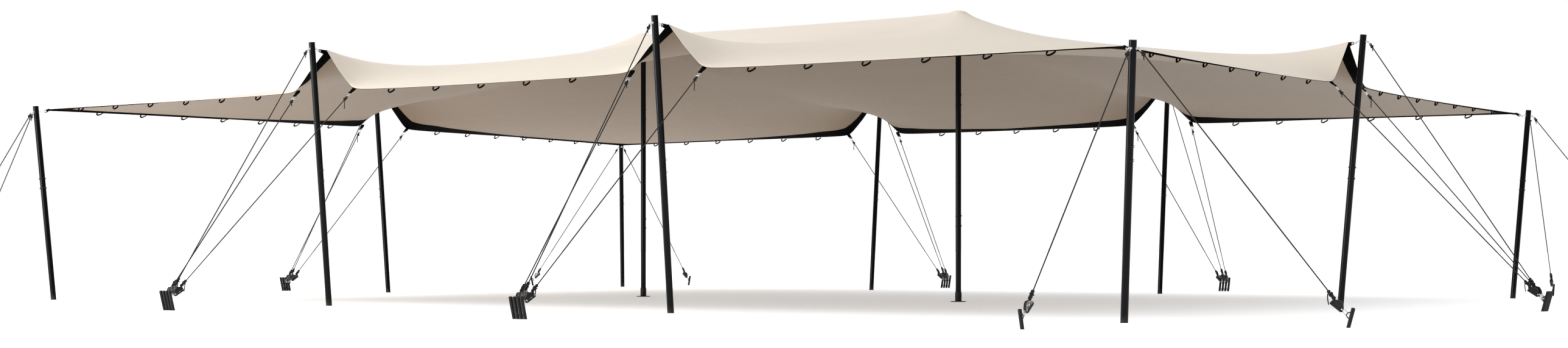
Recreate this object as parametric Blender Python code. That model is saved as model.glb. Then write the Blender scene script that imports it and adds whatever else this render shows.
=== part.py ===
"""Stretch tent on twelve poles, modelled at full size in metres, +Z up.

The origin is on the ground at the middle of the tent. X runs along its length and Y across it,
with the front long side at -Y.
"""
import math

import bmesh
import bpy
import numpy as np
from mathutils import Vector

# Canopy outline, from the middle of the tent
HALF_LENGTH = 7.62
HALF_WIDTH = 5.87
CORNER_TUCK = 0.04
SHORT_SIDE_X = 7.50
END_PEAK_X = 7.49
SIDE_PEAK_Y = 5.83
POLE_SPACING = 2.5
GABLE_HALF = 0.46
EDGE_HOLLOW = 0.07

# Canopy heights
MID_EDGE_Z = 2.45
FOOT_Z = 2.47
CORNER_Z = 2.455
SIDE_PEAK_Z = 2.95
CENTRE_PEAK_Z = 3.61
RIDGE_Z = 3.56
RIDGE_SAG_LONG = 0.29
RIDGE_SAG_SHORT = 0.26
RIDGE_POWER = 2.6
PRESTRESS = 0.02
CANOPY_THICKNESS = 0.012

# Black band under the edge
BAND_WIDTH = 0.13
BAND_MIN_WIDTH = 0.05
BAND_REACH = 1.6
BAND_THICKNESS = 0.004
LINK_RADIUS = 0.006
LINK_LAP = 0.03
CORNER_LINK_CLEARANCE = 0.0006
PEAK_LINK_CLEARANCE = 0.0014

# Poles
POLE_RADIUS = 0.035
CORNER_POLE_LENGTH = 2.5
SIDE_POLE_LENGTH = 3.03
CORNER_FOOT = (7.595, 5.78)
CORNER_LEAN = (0.16, 0.155)
SIDE_FOOT_Y = 5.79
END_FOOT_X = 7.405
SIDE_LEAN = 0.265
LINK_DROP = 0.075
HEAD_RADIUS = 0.11
HEAD_HEIGHT = 0.09
HEAD_RIM = 0.03
PLATE_RADIUS = 0.095
PLATE_THICKNESS = 0.008
COLLAR_HEIGHT = 0.12
COLLAR_WALL = 0.005

# Stakes and guys
STAKE_RADIUS = 0.017
STAKE_SPACING = 0.047
STAKE_LEAN = 0.27
SIDE_STAKE_Y = 8.08
END_STAKE_X = 9.63
CORNER_STAKE_X = 9.65
CORNER_STAKE_Y = 7.65
SIDE_STAKE_HEIGHT = 0.21
CORNER_STAKE_HEIGHT = 0.165
BAR_HEIGHT = 0.035
BAR_RADIUS = 0.006
RING_LEVEL = 0.62
RING_HALF_HEIGHT = 0.026
RING_REACH = 0.030
RING_TUBE = 0.005
ROPE_RADIUS = 0.0058
KNOT_RADIUS = 0.018
RATCHET_RADIUS = 0.032
SHACKLE_RADIUS = 0.007
UPPER_KNOT_RADIUS = 0.013
HOOK_CLEARANCE = 0.0025
GUY_TOP_CLEARANCE = 0.0051

# Distance along a guy and radius there: from its hook, then back from its upper end
GUY_LOWER = (
    (0.0, SHACKLE_RADIUS), (0.025, SHACKLE_RADIUS), (0.05, RATCHET_RADIUS), (0.12, RATCHET_RADIUS),
    (0.155, 0.01), (0.175, KNOT_RADIUS), (0.215, KNOT_RADIUS), (0.23, ROPE_RADIUS),
)
GUY_UPPER = (
    (0.16, ROPE_RADIUS), (0.145, UPPER_KNOT_RADIUS), (0.115, UPPER_KNOT_RADIUS), (0.1, SHACKLE_RADIUS),
    (0.0, SHACKLE_RADIUS),
)

GAP = 0.0003


def clear_scene():
    """Remove whatever objects the file opened with."""
    for obj in list(bpy.data.objects):
        bpy.data.objects.remove(obj, do_unlink=True)


def material(name, colour, roughness, metallic=0.0):
    """Principled material with one colour."""
    mat = bpy.data.materials.new(name)
    mat.use_nodes = True
    shader = mat.node_tree.nodes["Principled BSDF"]
    shader.inputs["Base Color"].default_value = (*colour, 1.0)
    shader.inputs["Roughness"].default_value = roughness
    shader.inputs["Metallic"].default_value = metallic
    return mat


def add_object(name, mesh, mat):
    """Link a mesh to the scene as a named object with its material."""
    obj = bpy.data.objects.new(name, mesh)
    bpy.context.scene.collection.objects.link(obj)
    mesh.materials.clear()
    mesh.materials.append(mat)
    return obj


def mesh_from(name, points, faces):
    """Mesh from points and faces, with the normals turned outward."""
    mesh = bpy.data.meshes.new(name)
    mesh.from_pydata([tuple(p) for p in points], [], faces)
    bm = bmesh.new()
    bm.from_mesh(mesh)
    bmesh.ops.recalc_face_normals(bm, faces=bm.faces)
    bm.to_mesh(mesh)
    bm.free()
    return mesh


def shade_round(mesh, angle=math.radians(40)):
    """Shade smooth, with edges sharper than the angle kept crisp."""
    mesh.shade_smooth()
    mesh.set_sharp_from_angle(angle=angle)


def union_mesh(name, meshes):
    """Join overlapping meshes into one closed body."""
    keep = bpy.data.objects.new("union_base", meshes[0])
    bpy.context.scene.collection.objects.link(keep)
    helpers = [keep]
    for other in meshes[1:]:
        tool = bpy.data.objects.new("union_tool", other)
        bpy.context.scene.collection.objects.link(tool)
        helpers.append(tool)
        step = keep.modifiers.new("Join", "BOOLEAN")
        step.operation = "UNION"
        step.solver = "EXACT"
        step.object = tool
    bpy.context.view_layer.update()
    graph = bpy.context.evaluated_depsgraph_get()
    mesh = bpy.data.meshes.new_from_object(keep.evaluated_get(graph))
    mesh.name = name
    for helper in helpers:
        bpy.data.objects.remove(helper, do_unlink=True)
    return mesh


# Canopy surface


def graded(start, end, count, fine_start=False, fine_end=False):
    """Distances from start to end, closer together at the ends asked for."""
    t = np.linspace(0.0, 1.0, count + 1)
    eased = t
    if fine_start and fine_end:
        eased = (1 - np.cos(math.pi * t)) / 2
    elif fine_end:
        eased = np.sin(math.pi / 2 * t)
    return start + (end - start) * (0.35 * t + 0.65 * eased)


def grid_lines():
    """Grid distances across the plan, with a line on each pole and each gable foot."""
    foot_in, foot_out = POLE_SPACING - GABLE_HALF, POLE_SPACING + GABLE_HALF
    along = np.concatenate([
        graded(0, foot_in, 5, fine_end=True),
        graded(foot_in, POLE_SPACING, 2)[1:],
        graded(POLE_SPACING, foot_out, 2)[1:],
        graded(foot_out, HALF_LENGTH, 9, True, True)[1:],
    ])
    across = np.concatenate([
        graded(0, GABLE_HALF, 2),
        graded(GABLE_HALF, HALF_WIDTH, 10, True, True)[1:],
    ])
    return (np.concatenate([-along[:0:-1], along]), np.concatenate([-across[:0:-1], across]))


def edge_profile(distance, peak, end):
    """Height and hollow of a free edge at a distance from the middle of its side."""
    d = abs(distance)
    from_peak = abs(d - peak)
    if from_peak < GABLE_HALF:
        return SIDE_PEAK_Z + (FOOT_Z - SIDE_PEAK_Z) * from_peak / GABLE_HALF, 0.0
    if d < peak:
        t = d / (peak - GABLE_HALF)
        return MID_EDGE_Z + (FOOT_Z - MID_EDGE_Z) * t ** 4, EDGE_HOLLOW * (1 - t * t)
    t = (d - peak - GABLE_HALF) / (end - peak - GABLE_HALF)
    height = MID_EDGE_Z + (FOOT_Z - MID_EDGE_Z) * (1 - t) ** 6 + (CORNER_Z - MID_EDGE_Z) * t ** 4
    return height, EDGE_HOLLOW * 4 * t * (1 - t)


def ridge_height(t, sag):
    """Height of a ridge at t of the way from a side peak to the centre pole."""
    t = np.clip(t, 0.0, 1.0)
    chord = SIDE_PEAK_Z + (CENTRE_PEAK_Z - SIDE_PEAK_Z) * t
    return chord - sag * (1 - np.abs(2 * t - 1) ** RIDGE_POWER)


def band_width(distance, peak):
    """Width of the black band: full near a gable and narrow towards the corners."""
    beyond = max(abs(abs(distance) - peak) - GABLE_HALF, 0.0)
    return BAND_MIN_WIDTH + (BAND_WIDTH - BAND_MIN_WIDTH) * math.exp(-(beyond / BAND_REACH) ** 2)


def canopy_plan(along, across):
    """Plan positions of the grid: the sides are hollow between the poles."""
    x, y = np.meshgrid(along, across, indexing="ij")
    long_inset = np.array([edge_profile(s, POLE_SPACING, HALF_LENGTH)[1] for s in along])
    long_inset += CORNER_TUCK * (np.abs(along) / HALF_LENGTH) ** 8
    peak_tuck = np.isclose(np.abs(along), POLE_SPACING)
    long_inset += (HALF_WIDTH - SIDE_PEAK_Y) * peak_tuck
    short_inset = np.array([edge_profile(s, 0.0, HALF_WIDTH)[1] for s in across])
    short_inset += (HALF_LENGTH - SHORT_SIDE_X) * np.clip(1 - np.abs(across) / HALF_WIDTH, 0, 1) ** 0.5
    y = y - np.sign(y) * long_inset[:, None] * (np.abs(y) / HALF_WIDTH) ** 3
    x = x - np.sign(x) * short_inset[None, :] * (np.abs(x) / HALF_LENGTH) ** 8
    for i, s in enumerate(along):
        width = band_width(s, POLE_SPACING)
        y[i, 1] = y[i, 0] + width
        y[i, -2] = y[i, -1] - width
    for j, s in enumerate(across):
        width = band_width(s, 0.0)
        x[1, j] = x[0, j] + width
        x[-2, j] = x[-1, j] - width
    return x, y


def known_heights(along, across, x, y):
    """Heights that the edges, the ridges and the pole heads fix; the rest are NaN."""
    z = np.full(x.shape, np.nan)
    middle = len(across) // 2
    between = np.abs(along) < POLE_SPACING
    lift = CENTRE_PEAK_Z - HEAD_RIM - RIDGE_Z
    z[between, middle] = RIDGE_Z + lift * (along[between] / POLE_SPACING) ** 4
    beyond = np.abs(along) > POLE_SPACING
    t = (END_PEAK_X - np.abs(x[beyond, middle])) / (END_PEAK_X - POLE_SPACING)
    z[beyond, middle] = ridge_height(t, RIDGE_SAG_SHORT)
    for i in np.flatnonzero(np.isclose(np.abs(along), POLE_SPACING)):
        z[i, :] = ridge_height((SIDE_PEAK_Y - np.abs(y[i, :])) / SIDE_PEAK_Y, RIDGE_SAG_LONG)
        z[i, middle] = CENTRE_PEAK_Z
    z[:, 0] = z[:, -1] = [edge_profile(s, POLE_SPACING, HALF_LENGTH)[0] for s in along]
    z[0, :] = z[-1, :] = [edge_profile(s, 0.0, HALF_WIDTH)[0] for s in across]
    return z


def stretch_fabric(x, y, z, rounds=40):
    """Fill in the free heights of a stretched sheet, which pulls harder where it is steeper."""
    fixed = ~np.isnan(z)
    z = np.where(fixed, z, np.nanmean(z))
    rows, columns = z.shape
    index = np.arange(rows * columns).reshape(rows, columns)
    free = ~fixed.ravel()
    for _ in range(rounds):
        dx = ((x[1:, :-1] - x[:-1, :-1]) + (x[1:, 1:] - x[:-1, 1:])) / 2
        dy = ((y[:-1, 1:] - y[:-1, :-1]) + (y[1:, 1:] - y[1:, :-1])) / 2
        slope_x = ((z[1:, :-1] - z[:-1, :-1]) + (z[1:, 1:] - z[:-1, 1:])) / 2 / dx
        slope_y = ((z[:-1, 1:] - z[:-1, :-1]) + (z[1:, 1:] - z[1:, :-1])) / 2 / dy
        pull = PRESTRESS + slope_x ** 2 + slope_y ** 2
        along = np.zeros((rows - 1, columns))
        along[:, :-1] += pull * dy / dx / 2
        along[:, 1:] += pull * dy / dx / 2
        across = np.zeros((rows, columns - 1))
        across[:-1, :] += pull * dx / dy / 2
        across[1:, :] += pull * dx / dy / 2
        balance = np.zeros((rows * columns, rows * columns))
        links = ((index[:-1, :], index[1:, :], along), (index[:, :-1], index[:, 1:], across))
        for first, second, strength in links:
            i, j, k = first.ravel(), second.ravel(), strength.ravel()
            balance[i, j] -= k
            balance[j, i] -= k
            np.add.at(balance, (i, i), k)
            np.add.at(balance, (j, j), k)
        heights = z.ravel().copy()
        load = -balance[np.ix_(free, ~free)] @ heights[~free]
        solved = np.linalg.solve(balance[np.ix_(free, free)], load)
        heights[free] = (heights[free] + solved) / 2
        z = heights.reshape(rows, columns)
    return z


def sheet_mesh(name, x, y, top, thickness, keep):
    """Closed sheet over the grid cells to keep, as thick as asked, measured downwards."""
    rows, columns = x.shape
    used = np.zeros((rows, columns), bool)
    for i, j in zip(*np.nonzero(keep)):
        used[i:i + 2, j:j + 2] = True
    number = -np.ones((rows, columns), int)
    number[used] = np.arange(used.sum())
    upper = [(x[i, j], y[i, j], top[i, j]) for i, j in zip(*np.nonzero(used))]
    lower = [(px, py, pz - thickness) for px, py, pz in upper]
    count = len(upper)
    faces = []
    for i, j in zip(*np.nonzero(keep)):
        a, b = number[i, j], number[i + 1, j]
        c, d = number[i + 1, j + 1], number[i, j + 1]
        inward = (i < rows // 2) == (j < columns // 2)
        halves = [(a, b, c), (a, c, d)] if inward else [(a, b, d), (b, c, d)]
        for half in halves:
            faces.append(half)
            faces.append(tuple(v + count for v in reversed(half)))
        sides = (((i, j - 1), a, b), ((i + 1, j), b, c), ((i, j + 1), c, d), ((i - 1, j), d, a))
        for (p, q), first, second in sides:
            inside = 0 <= p < rows - 1 and 0 <= q < columns - 1
            if not (inside and keep[p, q]):
                faces.append((second, first, first + count, second + count))
    return mesh_from(name, upper + lower, faces)


# Round pieces


def leaning_cylinder(name, foot, top, radius, sides=16):
    """Cylinder between two points whose lower end is cut flat at the foot's height."""
    foot, top = Vector(foot), Vector(top)
    axis = (top - foot).normalized()
    first = axis.orthogonal().normalized()
    second = axis.cross(first)
    lower, upper = [], []
    for k in range(sides):
        angle = 2 * math.pi * k / sides
        spoke = (first * math.cos(angle) + second * math.sin(angle)) * radius
        lower.append(foot + spoke - axis * (spoke.z / axis.z))
        upper.append(top + spoke)
    faces = [tuple(range(sides)), tuple(range(sides, 2 * sides))]
    for k in range(sides):
        n = (k + 1) % sides
        faces.append((k, n, sides + n, sides + k))
    mesh = mesh_from(name, lower + upper, faces)
    shade_round(mesh)
    return mesh


def turned(name, profile, centre, sides=24):
    """Solid of revolution about a vertical axis through the centre.

    The profile runs from the bottom on the axis, up the outside, to the top on the axis, or,
    when it never meets the axis, round a closed ring.
    """
    ring = all(radius > 0 for radius, _ in profile)
    points, rows = [], []
    for radius, height in profile:
        if radius == 0:
            rows.append([len(points)] * sides)
            points.append((centre[0], centre[1], height))
            continue
        rows.append(list(range(len(points), len(points) + sides)))
        for k in range(sides):
            angle = 2 * math.pi * k / sides
            spoke_x, spoke_y = radius * math.cos(angle), radius * math.sin(angle)
            points.append((centre[0] + spoke_x, centre[1] + spoke_y, height))
    pairs = list(zip(rows, rows[1:]))
    if ring:
        pairs.append((rows[-1], rows[0]))
    faces = []
    for low, high in pairs:
        for k in range(sides):
            n = (k + 1) % sides
            corners = list(dict.fromkeys((low[k], low[n], high[n], high[k])))
            faces.append(tuple(corners))
    mesh = mesh_from(name, points, faces)
    shade_round(mesh)
    return mesh


def tube(name, points, radii, resolution=1):
    """Closed tube along points, with its own radius at each point."""
    curve = bpy.data.curves.new(name, "CURVE")
    curve.dimensions = "3D"
    curve.bevel_depth = 1.0
    curve.bevel_resolution = resolution
    curve.use_fill_caps = True
    spline = curve.splines.new("POLY")
    spline.points.add(len(points) - 1)
    for point, place, radius in zip(spline.points, points, radii):
        point.co = (*place, 1.0)
        point.radius = radius
    holder = bpy.data.objects.new(name, curve)
    bpy.context.scene.collection.objects.link(holder)
    bpy.context.view_layer.update()
    graph = bpy.context.evaluated_depsgraph_get()
    mesh = bpy.data.meshes.new_from_object(holder.evaluated_get(graph))
    bpy.data.objects.remove(holder, do_unlink=True)
    bm = bmesh.new()
    bm.from_mesh(mesh)
    bmesh.ops.remove_doubles(bm, verts=bm.verts, dist=0.00001)
    bmesh.ops.recalc_face_normals(bm, faces=bm.faces)
    bm.to_mesh(mesh)
    bm.free()
    mesh.name = name
    shade_round(mesh)
    return mesh


# Places that several pieces share


def corner_pole_ends(sx, sy):
    """Foot and top of a corner pole."""
    lean_x, lean_y = CORNER_LEAN
    rise = math.sqrt(CORNER_POLE_LENGTH ** 2 - lean_x ** 2 - lean_y ** 2)
    foot = Vector((sx * CORNER_FOOT[0], sy * CORNER_FOOT[1], 0.0))
    return foot, foot + Vector((sx * lean_x, sy * lean_y, rise))


def side_pole_ends(position, outward):
    """Foot and top of a side pole that leans along its outward direction."""
    rise = math.sqrt(SIDE_POLE_LENGTH ** 2 - SIDE_LEAN ** 2)
    foot = Vector(position)
    return foot, foot + outward * SIDE_LEAN + Vector((0, 0, rise))


def beside_pole(foot, top, drop, direction, clearance):
    """Point beside a pole, at a drop below its top and at a clearance from its surface."""
    axis = (top - foot).normalized()
    centre = top - axis * drop
    flat = (direction - axis * direction.dot(axis)).normalized()
    return centre + flat * (POLE_RADIUS + clearance)


SIDES = {
    "front_left": (Vector((-POLE_SPACING, -SIDE_FOOT_Y, 0)), Vector((0, -1, 0))),
    "front_right": (Vector((POLE_SPACING, -SIDE_FOOT_Y, 0)), Vector((0, -1, 0))),
    "back_left": (Vector((-POLE_SPACING, SIDE_FOOT_Y, 0)), Vector((0, 1, 0))),
    "back_right": (Vector((POLE_SPACING, SIDE_FOOT_Y, 0)), Vector((0, 1, 0))),
    "left_end": (Vector((-END_FOOT_X, 0, 0)), Vector((-1, 0, 0))),
    "right_end": (Vector((END_FOOT_X, 0, 0)), Vector((1, 0, 0))),
}
CORNERS = {"front_left": (-1, -1), "front_right": (1, -1), "back_right": (1, 1), "back_left": (-1, 1)}


def pole_shift(position, outward):
    """A side pole's distance along its side, as a vector from the tent's middle."""
    return Vector((position.x, 0, 0)) if outward.y else Vector((0, 0, 0))


def stake_row(outward):
    """Ground points of the four stakes beyond a side pole, relative to the tent's middle."""
    run = Vector((-outward.y, outward.x, 0))
    reach = END_STAKE_X if outward.x else SIDE_STAKE_Y
    return [outward * reach + run * STAKE_SPACING * (k - 1.5) for k in range(4)]


def stake_mesh(name, ground, outward, height, with_ring):
    """Leaning round stake, cut flat at the ground, with a ring on the side of the pull."""
    top = ground + outward * STAKE_LEAN * height + Vector((0, 0, height))
    body = leaning_cylinder(name, ground, top, STAKE_RADIUS, sides=10)
    if not with_ring:
        return [body]
    axis = (top - ground).normalized()
    middle = ground + axis * height * RING_LEVEL
    inward = (-outward - axis * (-outward).dot(axis)).normalized()
    points = []
    for k in range(7):
        angle = math.pi * k / 6
        out = STAKE_RADIUS * 0.7 + RING_REACH * math.sin(angle)
        points.append(middle + inward * out + axis * RING_HALF_HEIGHT * math.cos(angle))
    ring = tube(name + "_ring", points, [RING_TUBE] * len(points))
    return [body, ring]


def ring_point(ground, outward, height):
    """Point just clear of a stake's ring, where a guy hooks on."""
    top = ground + outward * STAKE_LEAN * height + Vector((0, 0, height))
    axis = (top - ground).normalized()
    inward = (-outward - axis * (-outward).dot(axis)).normalized()
    reach = STAKE_RADIUS * 0.7 + RING_REACH + RING_TUBE
    return ground + axis * height * RING_LEVEL + inward * reach


def guy_mesh(name, hook, upper):
    """Rope from a stake's ring to its upper end, with its ratchet and knots as swellings."""
    run = (upper - hook).normalized()
    length = (upper - hook).length
    start = hook + run * HOOK_CLEARANCE
    stations = [(at, radius) for at, radius in GUY_LOWER]
    stations += [(length - back, radius) for back, radius in GUY_UPPER]
    points = [start + run * min(s, length - HOOK_CLEARANCE) for s, _ in stations]
    return tube(name, points, [radius for _, radius in stations])


# Assembly


def build_canopy(fabric, black):
    """Canopy and the black band under its edge, with a link to each pole."""
    along, across = grid_lines()
    x, y = canopy_plan(along, across)
    z = stretch_fabric(x, y, known_heights(along, across, x, y))
    cells = np.ones((len(along) - 1, len(across) - 1), bool)
    canopy = sheet_mesh("canopy", x, y, z, CANOPY_THICKNESS, cells)
    canopy.shade_smooth()
    canopy.set_sharp_from_angle(angle=math.radians(50))
    add_object("canopy", canopy, fabric)

    under = z - CANOPY_THICKNESS - 2 * GAP
    border = np.zeros_like(cells)
    border[:, [0, -1]] = True
    border[[0, -1], :] = True
    meshes = [sheet_mesh("edge_band", x, y, under, BAND_THICKNESS, border)]
    meshes += [corner_link(sx, sy) for sx, sy in CORNERS.values()]
    meshes += [peak_link(position, outward) for position, outward in SIDES.values()]
    add_object("edge_band", union_mesh("edge_band", meshes), black)


def corner_link(sx, sy):
    """Shackle and chain from the band's corner to the corner pole."""
    foot, top = corner_pole_ends(sx, sy)
    inward = Vector((-sx, -sy, 0)).normalized()
    level = CORNER_Z - CANOPY_THICKNESS - 1.4 * LINK_RADIUS
    corner = Vector((sx * HALF_LENGTH, sy * (HALF_WIDTH - CORNER_TUCK), level))
    end = beside_pole(foot, top, LINK_DROP, inward, CORNER_LINK_CLEARANCE)
    return tube("link", [corner + inward * LINK_LAP, corner, end], [LINK_RADIUS] * 3)


def peak_link(position, outward):
    """Shackle and chain from the top of a gable to its side pole."""
    foot, top = side_pole_ends(position, outward)
    reach = END_PEAK_X if outward.x else SIDE_PEAK_Y
    level = Vector((0, 0, SIDE_PEAK_Z - CANOPY_THICKNESS - 2 * LINK_RADIUS))
    peak = pole_shift(position, outward) + outward * reach + level
    end = beside_pole(foot, top, LINK_DROP, -outward, PEAK_LINK_CLEARANCE)
    inner = peak - outward * LINK_LAP - Vector((0, 0, LINK_RADIUS * 0.7))
    return tube("link", [inner, peak, end], [LINK_RADIUS] * 3)


def build_poles(pole_black):
    """Corner, side and centre poles."""
    for name, (sx, sy) in CORNERS.items():
        foot, top = corner_pole_ends(sx, sy)
        mesh = leaning_cylinder("corner_pole_" + name, foot, top, POLE_RADIUS)
        add_object("corner_pole_" + name, mesh, pole_black)
    for name, (position, outward) in SIDES.items():
        foot, top = side_pole_ends(position, outward)
        mesh = leaning_cylinder("side_pole_" + name, foot, top, POLE_RADIUS)
        add_object("side_pole_" + name, mesh, pole_black)
    head = CENTRE_PEAK_Z - CANOPY_THICKNESS - 2 * GAP
    foot = PLATE_THICKNESS + GAP
    profile = [
        (0, foot), (POLE_RADIUS, foot), (POLE_RADIUS, head - HEAD_HEIGHT),
        (HEAD_RADIUS * 0.75, head - HEAD_HEIGHT * 0.95), (HEAD_RADIUS * 0.8, head - HEAD_HEIGHT * 0.8),
        (HEAD_RADIUS * 0.5, head - HEAD_HEIGHT * 0.5),
        (HEAD_RADIUS * 0.2, head - HEAD_HEIGHT * 0.18), (0, head),
    ]
    for name, side in (("left", -1), ("right", 1)):
        mesh = turned("centre_pole_" + name, profile, (side * POLE_SPACING, 0))
        add_object("centre_pole_" + name, mesh, pole_black)


def build_base_plates(steel):
    """Round base plates with a collar, under the centre poles."""
    inner = POLE_RADIUS + GAP
    outer = inner + COLLAR_WALL
    profile = [
        (0, 0), (PLATE_RADIUS, 0), (PLATE_RADIUS, PLATE_THICKNESS), (outer, PLATE_THICKNESS),
        (outer, COLLAR_HEIGHT), (inner, COLLAR_HEIGHT), (inner, PLATE_THICKNESS), (0, PLATE_THICKNESS),
    ]
    for name, side in (("left", -1), ("right", 1)):
        mesh = turned("base_plate_" + name, profile, (side * POLE_SPACING, 0))
        add_object("base_plate_" + name, mesh, steel)


def build_stakes(steel):
    """Groups of four stakes beyond the side poles, and two single stakes at each corner."""
    for name, (position, outward) in SIDES.items():
        shift = pole_shift(position, outward)
        meshes = []
        for k, ground in enumerate(stake_row(outward)):
            meshes += stake_mesh("stake", ground + shift, outward, SIDE_STAKE_HEIGHT, k < 3)
        run = Vector((-outward.y, outward.x, 0))
        row = [ground + shift for ground in stake_row(outward)]
        lift = outward * STAKE_LEAN * BAR_HEIGHT + Vector((0, 0, BAR_HEIGHT))
        ends = [row[0] + lift, row[-1] + lift]
        meshes.append(tube("bar", ends, [BAR_RADIUS] * 2))
        add_object("side_stakes_" + name, union_mesh("side_stakes_" + name, meshes), steel)
    for name, (sx, sy) in CORNERS.items():
        for way, ground, outward in corner_stakes(sx, sy):
            label = f"corner_stake_{name}_{way}"
            meshes = stake_mesh(label, ground, outward, CORNER_STAKE_HEIGHT, True)
            add_object(label, union_mesh(label, meshes), steel)


def corner_stakes(sx, sy):
    """The two stakes of a corner: one beyond the long side and one beyond the short side."""
    return (
        ("side", Vector((sx * CORNER_FOOT[0], sy * CORNER_STAKE_Y, 0)), Vector((0, sy, 0))),
        ("end", Vector((sx * CORNER_STAKE_X, sy * CORNER_FOOT[1], 0)), Vector((sx, 0, 0))),
    )


def build_guys(rope):
    """Guys: three from each side pole's gable and two from each corner pole."""
    for name, (position, outward) in SIDES.items():
        foot, top = side_pole_ends(position, outward)
        shift = pole_shift(position, outward)
        run = Vector((-outward.y, outward.x, 0))
        hooks = [ring_point(ground + shift, outward, SIDE_STAKE_HEIGHT) for ground in stake_row(outward)[:3]]
        edge = SHORT_SIDE_X if outward.x else HALF_WIDTH
        drop = Vector((0, 0, CANOPY_THICKNESS + BAND_THICKNESS + 2 * GAP + SHACKLE_RADIUS * 0.8))
        ends = [
            shift + outward * edge - run * GABLE_HALF + Vector((0, 0, FOOT_Z)) - drop,
            beside_pole(foot, top, LINK_DROP, outward, GUY_TOP_CLEARANCE),
            shift + outward * edge + run * GABLE_HALF + Vector((0, 0, FOOT_Z)) - drop,
        ]
        meshes = [guy_mesh("guy", hook, end) for hook, end in zip(hooks, ends)]
        add_object("side_guys_" + name, union_mesh("side_guys_" + name, meshes), rope)
    for name, (sx, sy) in CORNERS.items():
        foot, top = corner_pole_ends(sx, sy)
        for way, ground, outward in corner_stakes(sx, sy):
            label = f"corner_guy_{name}_{way}"
            hook = ring_point(ground, outward, CORNER_STAKE_HEIGHT)
            end = beside_pole(foot, top, LINK_DROP, outward, GUY_TOP_CLEARANCE)
            add_object(label, guy_mesh(label, hook, end), rope)


def main():
    """Build the whole tent."""
    clear_scene()
    fabric = material("cream_fabric", (0.83, 0.77, 0.68), 0.9)
    black = material("black_webbing", (0.01, 0.01, 0.01), 0.85)
    pole_black = material("black_coated_aluminium", (0.02, 0.02, 0.022), 0.4, 0.3)
    steel = material("black_steel", (0.02, 0.02, 0.02), 0.6, 0.4)
    rope = material("black_rope", (0.03, 0.03, 0.03), 0.85)
    build_canopy(fabric, black)
    build_poles(pole_black)
    build_base_plates(steel)
    build_stakes(steel)
    build_guys(rope)


main()
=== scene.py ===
"""Stretch tent: its fabric, poles, fittings, guys and stakes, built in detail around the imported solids."""
import logging
import math
from dataclasses import dataclass
from enum import Enum

import bpy
import numpy as np
from mathutils import Matrix, Vector


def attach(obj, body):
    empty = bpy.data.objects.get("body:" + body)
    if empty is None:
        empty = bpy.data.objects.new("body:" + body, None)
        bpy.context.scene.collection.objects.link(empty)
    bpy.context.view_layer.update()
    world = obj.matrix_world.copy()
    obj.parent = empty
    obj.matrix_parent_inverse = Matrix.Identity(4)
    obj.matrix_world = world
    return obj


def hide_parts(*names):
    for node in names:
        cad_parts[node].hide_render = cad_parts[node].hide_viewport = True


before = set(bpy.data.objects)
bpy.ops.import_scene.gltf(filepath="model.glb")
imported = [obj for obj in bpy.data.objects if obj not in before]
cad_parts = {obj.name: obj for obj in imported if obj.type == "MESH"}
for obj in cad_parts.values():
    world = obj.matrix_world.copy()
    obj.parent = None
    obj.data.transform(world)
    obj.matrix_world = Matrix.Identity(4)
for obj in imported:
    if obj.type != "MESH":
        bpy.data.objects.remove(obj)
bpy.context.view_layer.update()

LOG = logging.getLogger("stretch_tent")
UP = Vector((0, 0, 1))
STRAND = "strand"

Triple = tuple[float, float, float]
Colour = Triple


class Labelled(Enum):
    """A place whose value starts with the label that its CAD nodes carry."""

    @property
    def label(self) -> str:
        """Name of the CAD nodes after their prefix."""
        return self.value[0]


class Side(Labelled):
    """The six side poles, each with its place along the tent and its outward direction."""

    FRONT_LEFT = ("front_left", (-1, 0), (0, -1))
    FRONT_RIGHT = ("front_right", (1, 0), (0, -1))
    BACK_LEFT = ("back_left", (-1, 0), (0, 1))
    BACK_RIGHT = ("back_right", (1, 0), (0, 1))
    LEFT_END = ("left_end", (0, 0), (-1, 0))
    RIGHT_END = ("right_end", (0, 0), (1, 0))

    @property
    def outward(self) -> Vector:
        """Level direction away from the tent."""
        return Vector((*self.value[2], 0))

    @property
    def run(self) -> Vector:
        """Level direction along the side."""
        return Vector((-self.value[2][1], self.value[2][0], 0))

    @property
    def is_end(self) -> bool:
        """Whether the pole stands at a short side."""
        return self.value[2][0] != 0


class Corner(Labelled):
    """The four corners, with the signs of their X and Y."""

    FRONT_LEFT = ("front_left", -1, -1)
    FRONT_RIGHT = ("front_right", 1, -1)
    BACK_RIGHT = ("back_right", 1, 1)
    BACK_LEFT = ("back_left", -1, 1)

    @property
    def signs(self) -> tuple[int, int]:
        """Signs of the corner's X and Y."""
        return self.value[1], self.value[2]


class Border(Enum):
    """The four edges of the canopy."""

    FRONT = "front"
    BACK = "back"
    LEFT_END = "left_end"
    RIGHT_END = "right_end"

    @property
    def is_long(self) -> bool:
        """Whether it is a long side."""
        return self in (Border.FRONT, Border.BACK)


# Shader building


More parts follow.
